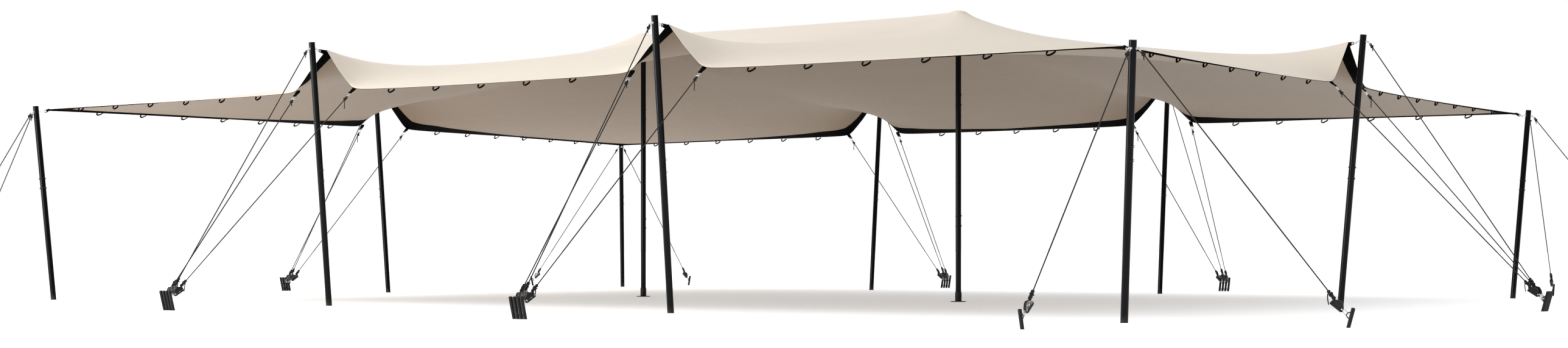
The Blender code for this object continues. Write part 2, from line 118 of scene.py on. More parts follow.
class Signal:
    """A value socket that turns arithmetic into Math nodes."""

    def __init__(self, bench: "ShaderBench", socket: bpy.types.NodeSocket) -> None:
        """Wrap a socket of the bench's material."""
        self.bench = bench
        self.socket = socket

    def _math(self, operation: str, *operands: object) -> "Signal":
        """Add a Math node.

        Args:
            operation: the node's operation.
            operands: signals or numbers, in the order of the node's sockets.

        Returns:
            The node's value.
        """
        return self.bench.node("ShaderNodeMath", {"operation": operation}, dict(enumerate(operands)))

    def __add__(self, other: object) -> "Signal":
        """Sum."""
        return self._math("ADD", self, other)

    def __radd__(self, other: object) -> "Signal":
        """Sum, reflected."""
        return self._math("ADD", other, self)

    def __sub__(self, other: object) -> "Signal":
        """Difference."""
        return self._math("SUBTRACT", self, other)

    def __rsub__(self, other: object) -> "Signal":
        """Difference, reflected."""
        return self._math("SUBTRACT", other, self)

    def __mul__(self, other: object) -> "Signal":
        """Product."""
        return self._math("MULTIPLY", self, other)

    def __rmul__(self, other: object) -> "Signal":
        """Product, reflected."""
        return self._math("MULTIPLY", other, self)

    def sine(self) -> "Signal":
        """Sine, in radians."""
        return self._math("SINE", self)

    def cosine(self) -> "Signal":
        """Cosine, in radians."""
        return self._math("COSINE", self)

    def highest(self, other: object) -> "Signal":
        """The greater of two values."""
        return self._math("MAXIMUM", self, other)

    def ramp(self, low: float, high: float, bottom: float = 0.0, top: float = 1.0) -> "Signal":
        """Map low..high smoothly to bottom..top.

        Args:
            low: value that becomes bottom.
            high: value that becomes top.
            bottom: lowest result.
            top: highest result.

        Returns:
            The mapped value.
        """
        settings = {"interpolation_type": "SMOOTHSTEP"}
        values = {"Value": self, "From Min": low, "From Max": high, "To Min": bottom, "To Max": top}
        return self.bench.node("ShaderNodeMapRange", settings, values)


class ShaderBench:
    """The node tree of one material."""

    def __init__(self, owner: bpy.types.ID) -> None:
        """Take a material or world that uses nodes."""
        self.tree = owner.node_tree
        self.shader = self.tree.nodes.get("Principled BSDF")
        self.material = owner

    @classmethod
    def for_material(cls, name: str) -> "ShaderBench":
        """Bench of a new material."""
        material = bpy.data.materials.new(name)
        material.use_nodes = True
        return cls(material)

    def feed(self, socket: bpy.types.NodeSocket, value: object) -> None:
        """Link a signal to a socket, or set a plain value on it.

        Args:
            socket: the input.
            value: a signal, a number, a colour or a vector.
        """
        if isinstance(value, Signal):
            self.tree.links.new(value.socket, socket)
        elif hasattr(value, "__len__") and len(value) == 3 and len(socket.default_value) == 4:
            socket.default_value = (*value, 1.0)
        else:
            socket.default_value = value

    def node(self, kind: str, settings: dict, values: dict, output: object = 0) -> Signal:
        """Add a node.

        Args:
            kind: the node's type.
            settings: its properties, set before its sockets.
            values: value or link for each socket, by name or number.
            output: name or number of the output wanted.

        Returns:
            That output.
        """
        made = self.tree.nodes.new(kind)
        for key, value in settings.items():
            setattr(made, key, value)
        for key, value in values.items():
            self.feed(made.inputs[key], value)
        return Signal(self, made.outputs[output])

    def position(self) -> Signal:
        """Object coordinates, which are metres in the tent's own frame."""
        return self.node("ShaderNodeTexCoord", {}, {}, "Object")

    def parts(self, vector: Signal) -> tuple[Signal, Signal, Signal]:
        """X, Y and Z of a vector."""
        first = self.node("ShaderNodeSeparateXYZ", {}, {"Vector": vector})
        outputs = first.socket.node.outputs
        return first, Signal(self, outputs[1]), Signal(self, outputs[2])

    def _vector_math(self, operation: str, vector: Signal, other: Triple, output: str) -> Signal:
        """Add a Vector Math node to a vector and a fixed one."""
        return self.node("ShaderNodeVectorMath", {"operation": operation}, {0: vector, 1: other}, output)

    def stretched(self, vector: Signal, scale: Triple) -> Signal:
        """Vector with its axes scaled apart."""
        return self._vector_math("MULTIPLY", vector, scale, "Vector")

    def along(self, vector: Signal, direction: Triple) -> Signal:
        """Length of a vector along a direction."""
        return self._vector_math("DOT_PRODUCT", vector, direction, "Value")

    def distance(self, vector: Signal, place: Triple) -> Signal:
        """Distance of a vector from a fixed place."""
        return self._vector_math("DISTANCE", vector, place, "Value")

    def noise(self, vector: Signal, scale: float, detail: float = 2.0, roughness: float = 0.5) -> Signal:
        """Noise value about 0.5."""
        values = {"Vector": vector, "Scale": scale, "Detail": detail, "Roughness": roughness}
        return self.node("ShaderNodeTexNoise", {}, values, "Fac")

    def mix(self, factor: object, first: object, second: object) -> Signal:
        """Colour between two colours."""
        settings = {"data_type": "RGBA"}
        return self.node("ShaderNodeMix", settings, {0: factor, 6: first, 7: second}, 2)

    def bump(self, height: Signal, distance: float, strength: float = 1.0) -> None:
        """Feed a height to the shader's normal through a Bump node."""
        values = {"Strength": strength, "Distance": distance, "Height": height}
        self.set("Normal", self.node("ShaderNodeBump", {}, values))

    def set(self, socket: str, value: object) -> None:
        """Set or link one of the shader's own sockets."""
        self.feed(self.shader.inputs[socket], value)


# Finishes


@dataclass(frozen=True)
class StretchFabric:
    """Coated stretch fabric with a fine knit and faint long stretch marks."""

    name: str
    colour: Colour
    shade: Colour
    knit_pitch: float = 0.0025
    roughness: float = 0.82

    def material(self) -> bpy.types.Material:
        """Build the material."""
        bench = ShaderBench.for_material(self.name)
        place = bench.position()
        x, y, _ = bench.parts(place)
        turn = 2 * math.pi / self.knit_pitch
        knit = (x * turn).sine() * (y * turn * 0.7).sine()
        drift = bench.noise(place, 0.55, 3.0)
        pull = bench.noise(bench.stretched(place, (0.35, 2.2, 1.0)), 1.4, 4.0, 0.6)
        soil = bench.noise(place, 9.0, 5.0, 0.65)
        blend = drift.ramp(0.3, 0.75) * 0.5 + pull.ramp(0.35, 0.8) * 0.35 + soil.ramp(0.45, 0.8) * 0.15
        bench.set("Base Color", bench.mix(blend, self.colour, self.shade))
        bench.set("Roughness", soil.ramp(0.3, 0.7, self.roughness - 0.05, self.roughness + 0.06))
        bench.set("Sheen Weight", 0.15)
        bench.set("Sheen Roughness", 0.5)
        bench.set("Specular IOR Level", 0.25)
        bench.bump(knit * 0.2 + soil * 0.3 + pull * 1.5, 0.0012, 0.5)
        return bench.material


@dataclass(frozen=True)
class Webbing:
    """Black woven webbing with ribs across its length."""

    name: str
    colour: Colour = (0.0016, 0.0014, 0.0014)
    worn: Colour = (0.007, 0.0064, 0.0062)
    rib_pitch: float = 0.0035

    def material(self) -> bpy.types.Material:
        """Build the material."""
        bench = ShaderBench.for_material(self.name)
        place = bench.position()
        x, y, z = bench.parts(place)
        turn = 2 * math.pi / self.rib_pitch
        ribs = ((x + y) * turn).sine() * ((z + x * 0.5) * turn * 0.6).sine()
        fuzz = bench.noise(place, 60.0, 4.0, 0.7)
        bench.set("Base Color", bench.mix(fuzz.ramp(0.35, 0.8), self.colour, self.worn))
        bench.set("Roughness", fuzz.ramp(0.2, 0.8, 0.78, 0.95))
        bench.set("Specular IOR Level", 0.01)
        bench.bump(ribs * 0.5 + fuzz, 0.0008, 0.8)
        return bench.material


@dataclass(frozen=True)
class SatinPole:
    """Black coated aluminium tube with drawn streaks, and scuffs and dust near the ground."""

    name: str
    colour: Colour = (0.0030, 0.0032, 0.0042)
    rubbed: Colour = (0.009, 0.009, 0.0095)
    dust: Colour = (0.10, 0.095, 0.09)
    dust_height: float = 0.16

    def material(self) -> bpy.types.Material:
        """Build the material."""
        bench = ShaderBench.for_material(self.name)
        place = bench.position()
        _, _, z = bench.parts(place)
        streak = bench.noise(bench.stretched(place, (90.0, 90.0, 1.6)), 1.0, 3.0, 0.6)
        scuff = bench.noise(bench.stretched(place, (16.0, 16.0, 5.0)), 1.0, 6.0, 0.7)
        worn = bench.mix(scuff.ramp(0.62, 0.78) * 0.6, self.colour, self.rubbed)
        low = (z + scuff * 0.12).ramp(0.03, self.dust_height, 1.0, 0.0)
        bench.set("Base Color", bench.mix(low * scuff.ramp(0.3, 0.7, 0.1, 0.55), worn, self.dust))
        bench.set("Roughness", streak.ramp(0.3, 0.7, 0.1, 0.18) + low * 0.25)
        bench.set("Specular IOR Level", 0.12)
        bench.bump(streak * 0.6 + scuff * 0.4, 0.0001, 0.4)
        return bench.material


@dataclass(frozen=True)
class ForgedSteel:
    """Black forged steel with a hammered skin and rubbed spots."""

    name: str
    colour: Colour = (0.006, 0.006, 0.0065)
    rubbed: Colour = (0.05, 0.048, 0.046)

    def material(self) -> bpy.types.Material:
        """Build the material."""
        bench = ShaderBench.for_material(self.name)
        place = bench.position()
        dent = bench.noise(place, 55.0, 3.0, 0.5)
        rub = bench.noise(place, 22.0, 6.0, 0.72)
        bench.set("Base Color", bench.mix(rub.ramp(0.6, 0.74) * 0.7, self.colour, self.rubbed))
        bench.set("Roughness", rub.ramp(0.3, 0.75, 0.6, 0.4))
        bench.set("Metallic", 0.4)
        bench.bump(dent + rub * 0.4, 0.0012, 0.6)
        return bench.material


@dataclass(frozen=True)
class BareMetal:
    """Bright or grey plated metal with fine scratches."""

    name: str
    colour: Colour
    stained: Colour
    roughness: float

    def material(self) -> bpy.types.Material:
        """Build the material."""
        bench = ShaderBench.for_material(self.name)
        place = bench.position()
        cloud = bench.noise(place, 70.0, 4.0, 0.6)
        scratch = bench.noise(bench.stretched(place, (900.0, 900.0, 120.0)), 1.0, 2.0)
        bench.set("Base Color", bench.mix(cloud.ramp(0.35, 0.8), self.colour, self.stained))
        bench.set("Roughness", cloud.ramp(0.3, 0.7, self.roughness, self.roughness + 0.16))
        bench.set("Metallic", 1.0)
        bench.bump(scratch * 0.5 + cloud, 0.0003, 0.5)
        return bench.material


@dataclass(frozen=True)
class BraidedRope:
    """Black braided rope with brown and grey flecks along its strands."""

    name: str
    colour: Colour = (0.0055, 0.0048, 0.0045)
    fleck: Colour = (0.085, 0.068, 0.052)
    pitch: float = 0.034
    strands: int = 4

    def material(self) -> bpy.types.Material:
        """Build the material.

        The strand attribute holds metres along the rope and the cosine and sine of the angle
        round it, so that two sets of helical strands cross without a seam.
        """
        bench = ShaderBench.for_material(self.name)
        laid = bench.node("ShaderNodeAttribute", {"attribute_name": STRAND}, {}, "Vector")
        along, cosine, sine = bench.parts(laid)
        phase = along * (2 * math.pi / self.pitch)
        right = phase.sine() * cosine + phase.cosine() * sine
        left = phase.sine() * cosine - phase.cosine() * sine
        weave = (right * self.strands).sine() * (left * self.strands).sine()
        fibre = bench.noise(bench.stretched(laid, (55.0, 1.0, 1.0)), 1.0, 4.0, 0.7)
        flecks = weave.ramp(0.1, 0.9) * fibre.ramp(0.47, 0.62)
        bench.set("Base Color", bench.mix(flecks, self.colour, self.fleck))
        bench.set("Roughness", fibre.ramp(0.3, 0.7, 0.72, 0.92))
        bench.bump(weave + fibre * 0.5, 0.0012, 0.9)
        return bench.material


@dataclass(frozen=True)
class StudioFloor:
    """Plain pale floor with a very faint texture, which glows softly and fades into the backdrop."""

    name: str
    colour: Colour = (0.95, 0.95, 0.95)
    shade: Colour = (0.93, 0.93, 0.93)
    near_glow: Colour = (0.35, 0.365, 0.38)
    far_glow: Colour = (0.40, 0.40, 0.40)
    centre: Triple = (7.0, 2.0, 0.0)
    fade: tuple[float, float] = (5.0, 22.0)

    def material(self) -> bpy.types.Material:
        """Build the material."""
        bench = ShaderBench.for_material(self.name)
        place = bench.position()
        cloud = bench.noise(place, 0.4, 3.0)
        bench.set("Base Color", bench.mix(cloud, self.colour, self.shade))
        far = bench.distance(place, self.centre).ramp(*self.fade)
        bench.set("Emission Color", bench.mix(far, self.near_glow, self.far_glow))
        bench.set("Emission Strength", 1.0)
        bench.set("Roughness", 0.9)
        bench.set("Specular IOR Level", 0.1)
        return bench.material


class Palette:
    """All finishes of the tent, made once."""

    def __init__(self) -> None:
        """Make the materials."""
        self.outside = StretchFabric(
            "cream_fabric_outside", (0.728, 0.655, 0.562), (0.704, 0.628, 0.535)).material()
        # The underside is the same cream fabric as the outside. Its much darker colours are painted shade,
        # standing in for the shadow under the canopy.
        self.inside = StretchFabric(
            "cream_fabric_underside_painted_shade", (0.233, 0.172, 0.117), (0.217, 0.159, 0.107)).material()
        self.webbing = Webbing("black_webbing").material()
        self.pole = SatinPole("black_pole_coating").material()
        self.forged = ForgedSteel("black_forged_steel").material()
        self.bright = BareMetal("galvanised_steel", (0.78, 0.77, 0.76), (0.52, 0.51, 0.5), 0.24).material()
        self.cheek = BareMetal(
            "grey_ratchet_plate", (0.24, 0.235, 0.23), (0.15, 0.147, 0.145), 0.4).material()
        self.rope = BraidedRope("black_braided_rope").material()


# Mesh building


def unit(vector: Vector) -> Vector:
    """Vector of length one in the same direction."""
    return Vector(vector).normalized()


def across(direction: Vector) -> tuple[Vector, Vector]:
    """Two unit directions square to a direction and to each other.

    Args:
        direction: the main direction.

    Returns:
        A level direction, and the third one.
    """
    side = UP.cross(direction)
    if side.length < 0.001:
        side = Vector((1, 0, 0)).cross(direction)
    side.normalize()
    return side, unit(direction).cross(side)


def square_to(vector: Vector, axis: Vector) -> Vector:
    """Unit vector nearest to a vector's direction that is square to a unit axis."""
    return unit(vector - axis * vector.dot(axis))


def framed(origin: Vector, first: Vector, second: Vector) -> Matrix:
    """Matrix that lays a flat part at an origin, with its two directions in the tent's frame.

    Args:
        origin: where the part's own zero goes.
        first: unit direction of its first axis.
        second: unit direction of its second axis, square to the first.

    Returns:
        The matrix.
    """
    place = Matrix((first, second, first.cross(second))).transposed().to_4x4()
    place.translation = origin
    return place


def steps_along(path: list[Vector], closed: bool) -> list[Vector]:
    """Step from the point before to the point after, for each point of a path.

    Args:
        path: the points.
        closed: whether the last point joins the first.

    Returns:
        The steps, in order.
    """
    count = len(path)
    steps = []
    for k in range(count):
        before = path[k - 1] if closed or k else path[k]
        after = path[(k + 1) % count] if closed or k < count - 1 else path[k]
        steps.append(after - before)
    return steps


def sleeve(rows: int, size: int, closed: bool = False) -> list[tuple[int, ...]]:
    """Faces round a row of like sections, with a cap at each end unless it is closed.

    Args:
        rows: how many sections there are.
        size: points of each section, counter-clockwise round the direction of the row.
        closed: whether the last section joins the first.

    Returns:
        Corner numbers of the faces.
    """
    faces = []
    for k in range(rows if closed else rows - 1):
        here, there = k * size, (k + 1) % rows * size
        for j in range(size):
            n = (j + 1) % size
            faces.append((here + j, here + n, there + n, there + j))
    if not closed:
        faces.append(tuple(reversed(range(size))))
        faces.append(tuple(range((rows - 1) * size, rows * size)))
    return faces


class Workpiece:
    """The faces of one piece, collected part by part."""

    def __init__(self, name: str, *finishes: bpy.types.Material) -> None:
        """Start an empty piece with its materials, in slot order."""
        self.name = name
        self.finishes = finishes
        self.points: list[Triple] = []
        self.faces: list[tuple[int, ...]] = []
        self.slots: list[int] = []
        self.strand: list[Triple] = []

    def add(self, points: list, faces: list, slot: int = 0, strand: list | None = None) -> None:
        """Add points and faces.

        Args:
            points: places in the tent's frame.
            faces: corner numbers that count from the first of these points.
            slot: number of the material.
            strand: rope coordinates of the points, if they belong to a rope.
        """
        base = len(self.points)
        self.points += [tuple(p) for p in points]
        self.faces += [tuple(base + k for k in face) for face in faces]
        self.slots += [slot] * len(faces)
        self.strand += strand if strand else [(0.0, 1.0, 0.0)] * len(points)

    def tube(self, path: list, radius: float | list, sides: int = 8, slot: int = 0,
             closed: bool = False) -> None:
        """Add a round rod, rope or wire along a path.

        Args:
            path: points along its middle.
            radius: one radius, or one for each point.
            sides: faces round it.
            slot: number of the material.
            closed: whether the last point joins the first.
        """
        path = [Vector(p) for p in path]
        count = len(path)
        radii = [radius] * count if isinstance(radius, (int, float)) else list(radius)
        tangents = [unit(step) for step in steps_along(path, closed)]
        side, _ = across(tangents[0])
        sides_at = []
        for tangent in tangents:
            side = square_to(side, tangent)
            sides_at.append(side)
        twist = 0.0
        if closed:
            carried = square_to(sides_at[-1], tangents[0])
            third = tangents[0].cross(sides_at[0])
            twist = -math.atan2(carried.dot(third), carried.dot(sides_at[0]))
        points, strand = [], []
        along = 0.0
        for k, (place, tangent, first) in enumerate(zip(path, tangents, sides_at)):
            if k:
                along += (place - path[k - 1]).length
            third = tangent.cross(first)
            for j in range(sides):
                angle = 2 * math.pi * j / sides
                turned_by = angle + twist * k / count
                points.append(place + (first * math.cos(turned_by) + third * math.sin(turned_by)) * radii[k])
                strand.append((along, math.cos(angle), math.sin(angle)))
        self.add(points, sleeve(count, sides, closed), slot, strand)

    def turned(self, profile: list, base: Vector, axis: Vector, sides: int = 24, slot: int = 0) -> None:
        """Add a solid of revolution.

        Args:
            profile: pairs of radius and distance along the axis, going round the section
                with the solid on the left, from the axis to the axis or round a ring.
            base: where the distance is zero.
            axis: direction of the axis.
            sides: faces round it.
            slot: number of the material.
        """
        first, second = across(axis)
        axis = unit(axis)
        points, rows = [], []
        for radius, height in profile:
            middle = Vector(base) + axis * height
            if radius == 0:
                rows.append([len(points)] * sides)
                points.append(middle)
                continue
            rows.append(list(range(len(points), len(points) + sides)))
            for j in range(sides):
                angle = 2 * math.pi * j / sides
                points.append(middle + (first * math.cos(angle) + second * math.sin(angle)) * radius)
        pairs = list(zip(rows, rows[1:]))
        if all(radius > 0 for radius, _ in profile):
            pairs.append((rows[-1], rows[0]))
        faces = []
        for low, high in pairs:
            for j in range(sides):
                n = (j + 1) % sides
                faces.append(tuple(dict.fromkeys((low[j], low[n], high[n], high[j]))))
        self.add(points, faces, slot)

    def ribbon(self, path: list, wide: Vector, width: float | list, thick: float, slot: int = 0) -> None:
        """Add a flat strap along a path, with slightly thinner edges.

        Args:
            path: points along the middle of the strap.
            wide: direction of its width.
            width: one width, or one for each point.
            thick: its thickness.
            slot: number of the material.
        """
        wide = unit(wide)
        widths = [width] * len(path) if isinstance(width, (int, float)) else list(width)
        section = ((-0.5, 0.25), (-0.42, 0.5), (0.42, 0.5), (0.5, 0.25),
                   (0.5, -0.25), (0.42, -0.5), (-0.42, -0.5), (-0.5, -0.25))
        points = []
        for place, step, broad in zip(path, steps_along(path, False), widths):
            out = unit(wide.cross(step))
            points += [place + wide * (a * broad) + out * (b * thick) for a, b in section]
        self.add(points, sleeve(len(path), len(section)), slot)

    def plate(self, outline: list, place: Matrix, thick: float, slot: int, bevel: float) -> None:
        """Add a flat plate with bevelled rims.

        Args:
            outline: pairs that run counter-clockwise in the plate's own plane.
            place: matrix that takes that plane, with its normal as third axis, to the tent.
            thick: thickness, centred on the plane.
            slot: number of the material.
            bevel: how far the rims are cut back.
        """
        count = len(outline)
        middle = Vector((sum(a for a, _ in outline), sum(b for _, b in outline))) / count
        points = []
        for level, shrink in ((-0.5, bevel), (-0.5, 0.0), (0.5, 0.0), (0.5, bevel)):
            height = level * thick + (0 if shrink else math.copysign(min(bevel, thick * 0.4), -level))
            for a, b in outline:
                flat = Vector((a, b))
                flat += (middle - flat).normalized() * shrink
                points.append(place @ Vector((*flat, height)))
        self.add(points, sleeve(4, count), slot)

    def bolt(self, base: Vector, axis: Vector, radius: float, height: float, slot: int = 0) -> None:
        """Add a washer with a hexagonal head on it.

        Args:
            base: middle of the washer's lower face.
            axis: direction in which the head stands out.
            radius: radius of the head.
            height: height of the washer and the head together.
            slot: number of the material.
        """
        rim, seat, crown = radius * 1.35, height * 0.2, height * 0.85
        self.turned([(0, 0), (rim, 0), (rim, seat), (0, seat)], base, axis, 16, slot)
        head = [(0, seat), (radius, seat), (radius, crown), (radius * 0.8, height), (0, height)]
        self.turned(head, base, axis, 6, slot)

    def level_foot(self, start: int, foot: Vector, axis: Vector, within: float) -> None:
        """Slide the points near a foot along its axis until they are level with it.

        Args:
            start: number of the first point that may move.
            foot: the foot.
            axis: direction of the part that stands on it.
            within: distance along the axis up to which points move.
        """
        for k in range(start, len(self.points)):
            place = Vector(self.points[k])
            if (place - foot).dot(axis) < within:
                self.points[k] = tuple(place - axis * ((place.z - foot.z) / axis.z))

    def make(self, sharp: float = 35.0) -> bpy.types.Object:
        """Make the object.

        Args:
            sharp: edges with more degrees than this between their faces stay crisp.

        Returns:
            The linked object.
        """
        mesh = bpy.data.meshes.new(self.name)
        mesh.from_pydata(self.points, [], self.faces)
        for finish in self.finishes:
            mesh.materials.append(finish)
        mesh.polygons.foreach_set("material_index", self.slots)
        strand = mesh.attributes.new(STRAND, "FLOAT_VECTOR", "POINT")
        strand.data.foreach_set("vector", np.array(self.strand, np.float32).ravel())
        mesh.shade_smooth()
        mesh.set_sharp_from_angle(angle=math.radians(sharp))
        mesh.validate()
        piece = bpy.data.objects.new(self.name, mesh)
        bpy.context.scene.collection.objects.link(piece)
        return piece


def arc(centre: Vector, first: Vector, second: Vector, start: float, end: float, count: int) -> list[Vector]:
    """Points along an arc between two angles in degrees, with two vectors as its radii at 0 and 90."""
    turns = [math.radians(start + (end - start) * k / (count - 1)) for k in range(count)]
    return [centre + first * math.cos(t) + second * math.sin(t) for t in turns]


def settle(piece: bpy.types.Object, slot: str | None, *nodes: str) -> bpy.types.Object:
    """Hand a finished piece to the frame.

    Args:
        piece: the object.
        slot: name of a material slot, if one fits; not used.
        nodes: CAD nodes that it stands for.

    Returns:
        The same object.
    """
    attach(piece, "root")
    if nodes:
        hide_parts(*nodes)
    LOG.info("%s: %d faces", piece.name, len(piece.data.polygons))
    return piece


# Canopy


@dataclass(frozen=True)
class TentPlan:
    """Sizes that the canopy, poles, fittings, guys and stakes share."""

    half_length: float = 7.62
    half_width: float = 5.87
    corner_tuck: float = 0.04
    short_side_x: float = 7.50
    end_peak_x: float = 7.49
    side_peak_y: float = 5.83
    pole_spacing: float = 2.5
    gable_half: float = 0.46
    edge_hollow: float = 0.07
    mid_edge_z: float = 2.462
    foot_z: float = 2.47
    corner_z: float = 2.455
    side_peak_z: float = 2.95
    centre_peak_z: float = 3.61
    ridge_z: float = 3.575
    ridge_lift: float = 0.023
    ridge_sag_long: float = 0.265
    ridge_sag_short: float = 0.252
    ridge_power: float = 3.6
    prestress: float = 0.02
    pole_radius: float = 0.035
    corner_pole_length: float = 2.5
    side_pole_length: float = 3.03
    corner_foot: tuple[float, float] = (7.595, 5.78)
    corner_lean: tuple[float, float] = (0.16, 0.155)
    side_foot_y: float = 5.79
    end_foot_x: float = 7.405
    side_lean: float = 0.265
    top_hole: float = 0.075
    foot_round: float = 0.13
    stake_radius: float = 0.017
    stake_spacing: float = 0.047
    stake_lean: float = 0.27
    side_stake_y: float = 8.08
    end_stake_x: float = 9.63
    corner_stake: tuple[float, float] = (9.65, 7.65)
    side_stake_height: float = 0.21
    corner_stake_height: float = 0.165
    ring_level: float = 0.62
    ring_depth: float = 0.7
    ring_reach: float = 0.030
    ring_half_height: float = 0.026
    ring_tube: float = 0.005

    @property
    def gable_drop(self) -> float:
        """Slope of a gable's legs."""
        return (self.side_peak_z - self.foot_z) / self.gable_half

    @property
    def foot_rise(self) -> float:
        """How far its rounding lifts the canopy's edge at a gable's foot."""
        return self.foot_round * self.gable_drop / 4

    def shift(self, side: Side) -> Vector:
        """Where a side pole stands along its side, from the middle of the tent."""
        return Vector((side.value[1][0] * self.pole_spacing, 0, 0))

    def side_pole(self, side: Side) -> tuple[Vector, Vector]:
        """Foot and top of a side pole."""
        reach = self.end_foot_x if side.is_end else self.side_foot_y
        foot = self.shift(side) + side.outward * reach
        rise = math.sqrt(self.side_pole_length ** 2 - self.side_lean ** 2)
        return foot, foot + side.outward * self.side_lean + UP * rise

    def corner_pole(self, corner: Corner) -> tuple[Vector, Vector]:
        """Foot and top of a corner pole."""
        sx, sy = corner.signs
        lean_x, lean_y = self.corner_lean
        rise = math.sqrt(self.corner_pole_length ** 2 - lean_x ** 2 - lean_y ** 2)
        foot = Vector((sx * self.corner_foot[0], sy * self.corner_foot[1], 0))
        return foot, foot + Vector((sx * lean_x, sy * lean_y, rise))

    def beside(self, foot: Vector, top: Vector, direction: Vector, clear: float = 0.0) -> Vector:
        """Point on a pole's surface at its top hole, in a level direction, and some way clear of it."""
        axis = unit(top - foot)
        return top - axis * self.top_hole + square_to(direction, axis) * (self.pole_radius + clear)

    def gable_peak(self, side: Side) -> Vector:
        """Top of the gable at a side pole."""
        reach = self.end_peak_x if side.is_end else self.side_peak_y
        return self.shift(side) + side.outward * reach + UP * self.side_peak_z

    def gable_foot(self, side: Side, way: int) -> Vector:
        """Lower end of a gable's leg, on one side of its pole."""
        reach = self.short_side_x if side.is_end else self.half_width
        return self.shift(side) + side.outward * reach + side.run * (way * self.gable_half) + UP * self.foot_z

    def fabric_corner(self, corner: Corner) -> Vector:
        """Corner of the canopy."""
        sx, sy = corner.signs
        return Vector((sx * self.half_length, sy * (self.half_width - self.corner_tuck), self.corner_z))

    def side_stakes(self, side: Side) -> list[Vector]:
        """Ground points of the four stakes beyond a side pole."""
        reach = self.end_stake_x if side.is_end else self.side_stake_y
        middle = self.shift(side) + side.outward * reach
        return [middle + side.run * (self.stake_spacing * (k - 1.5)) for k in range(4)]

    def corner_stakes(self, corner: Corner) -> list[tuple[str, Vector, Vector]]:
        """Name, ground point and outward direction of a corner's two stakes."""
        sx, sy = corner.signs
        return [
            ("side", Vector((sx * self.corner_foot[0], sy * self.corner_stake[1], 0)), Vector((0, sy, 0))),
            ("end", Vector((sx * self.corner_stake[0], sy * self.corner_foot[1], 0)), Vector((sx, 0, 0))),
        ]

    def stake_top(self, ground: Vector, outward: Vector, height: float) -> Vector:
        """Top of a stake."""
        return ground + outward * (self.stake_lean * height) + UP * height

    def ring_seat(self, ground: Vector, outward: Vector, height: float) -> tuple[Vector, Vector, Vector]:
        """Middle of a ring's root in its stake, with the directions of the stake and the ring.

        Args:
            ground: where the stake enters the ground.
            outward: level direction of its lean.
            height: height of its top.

        Returns:
            The place and the two unit directions.
        """
        axis = unit(self.stake_top(ground, outward, height) - ground)
        inward = square_to(-outward, axis)
        seat = ground + axis * (height * self.ring_level) + inward * (self.stake_radius * self.ring_depth)
        return seat, axis, inward

    def ring_point(self, ground: Vector, outward: Vector, height: float) -> Vector:
        """Inside of a stake's ring, where a guy hooks on."""
        seat, _, inward = self.ring_seat(ground, outward, height)
        return seat + inward * self.ring_reach


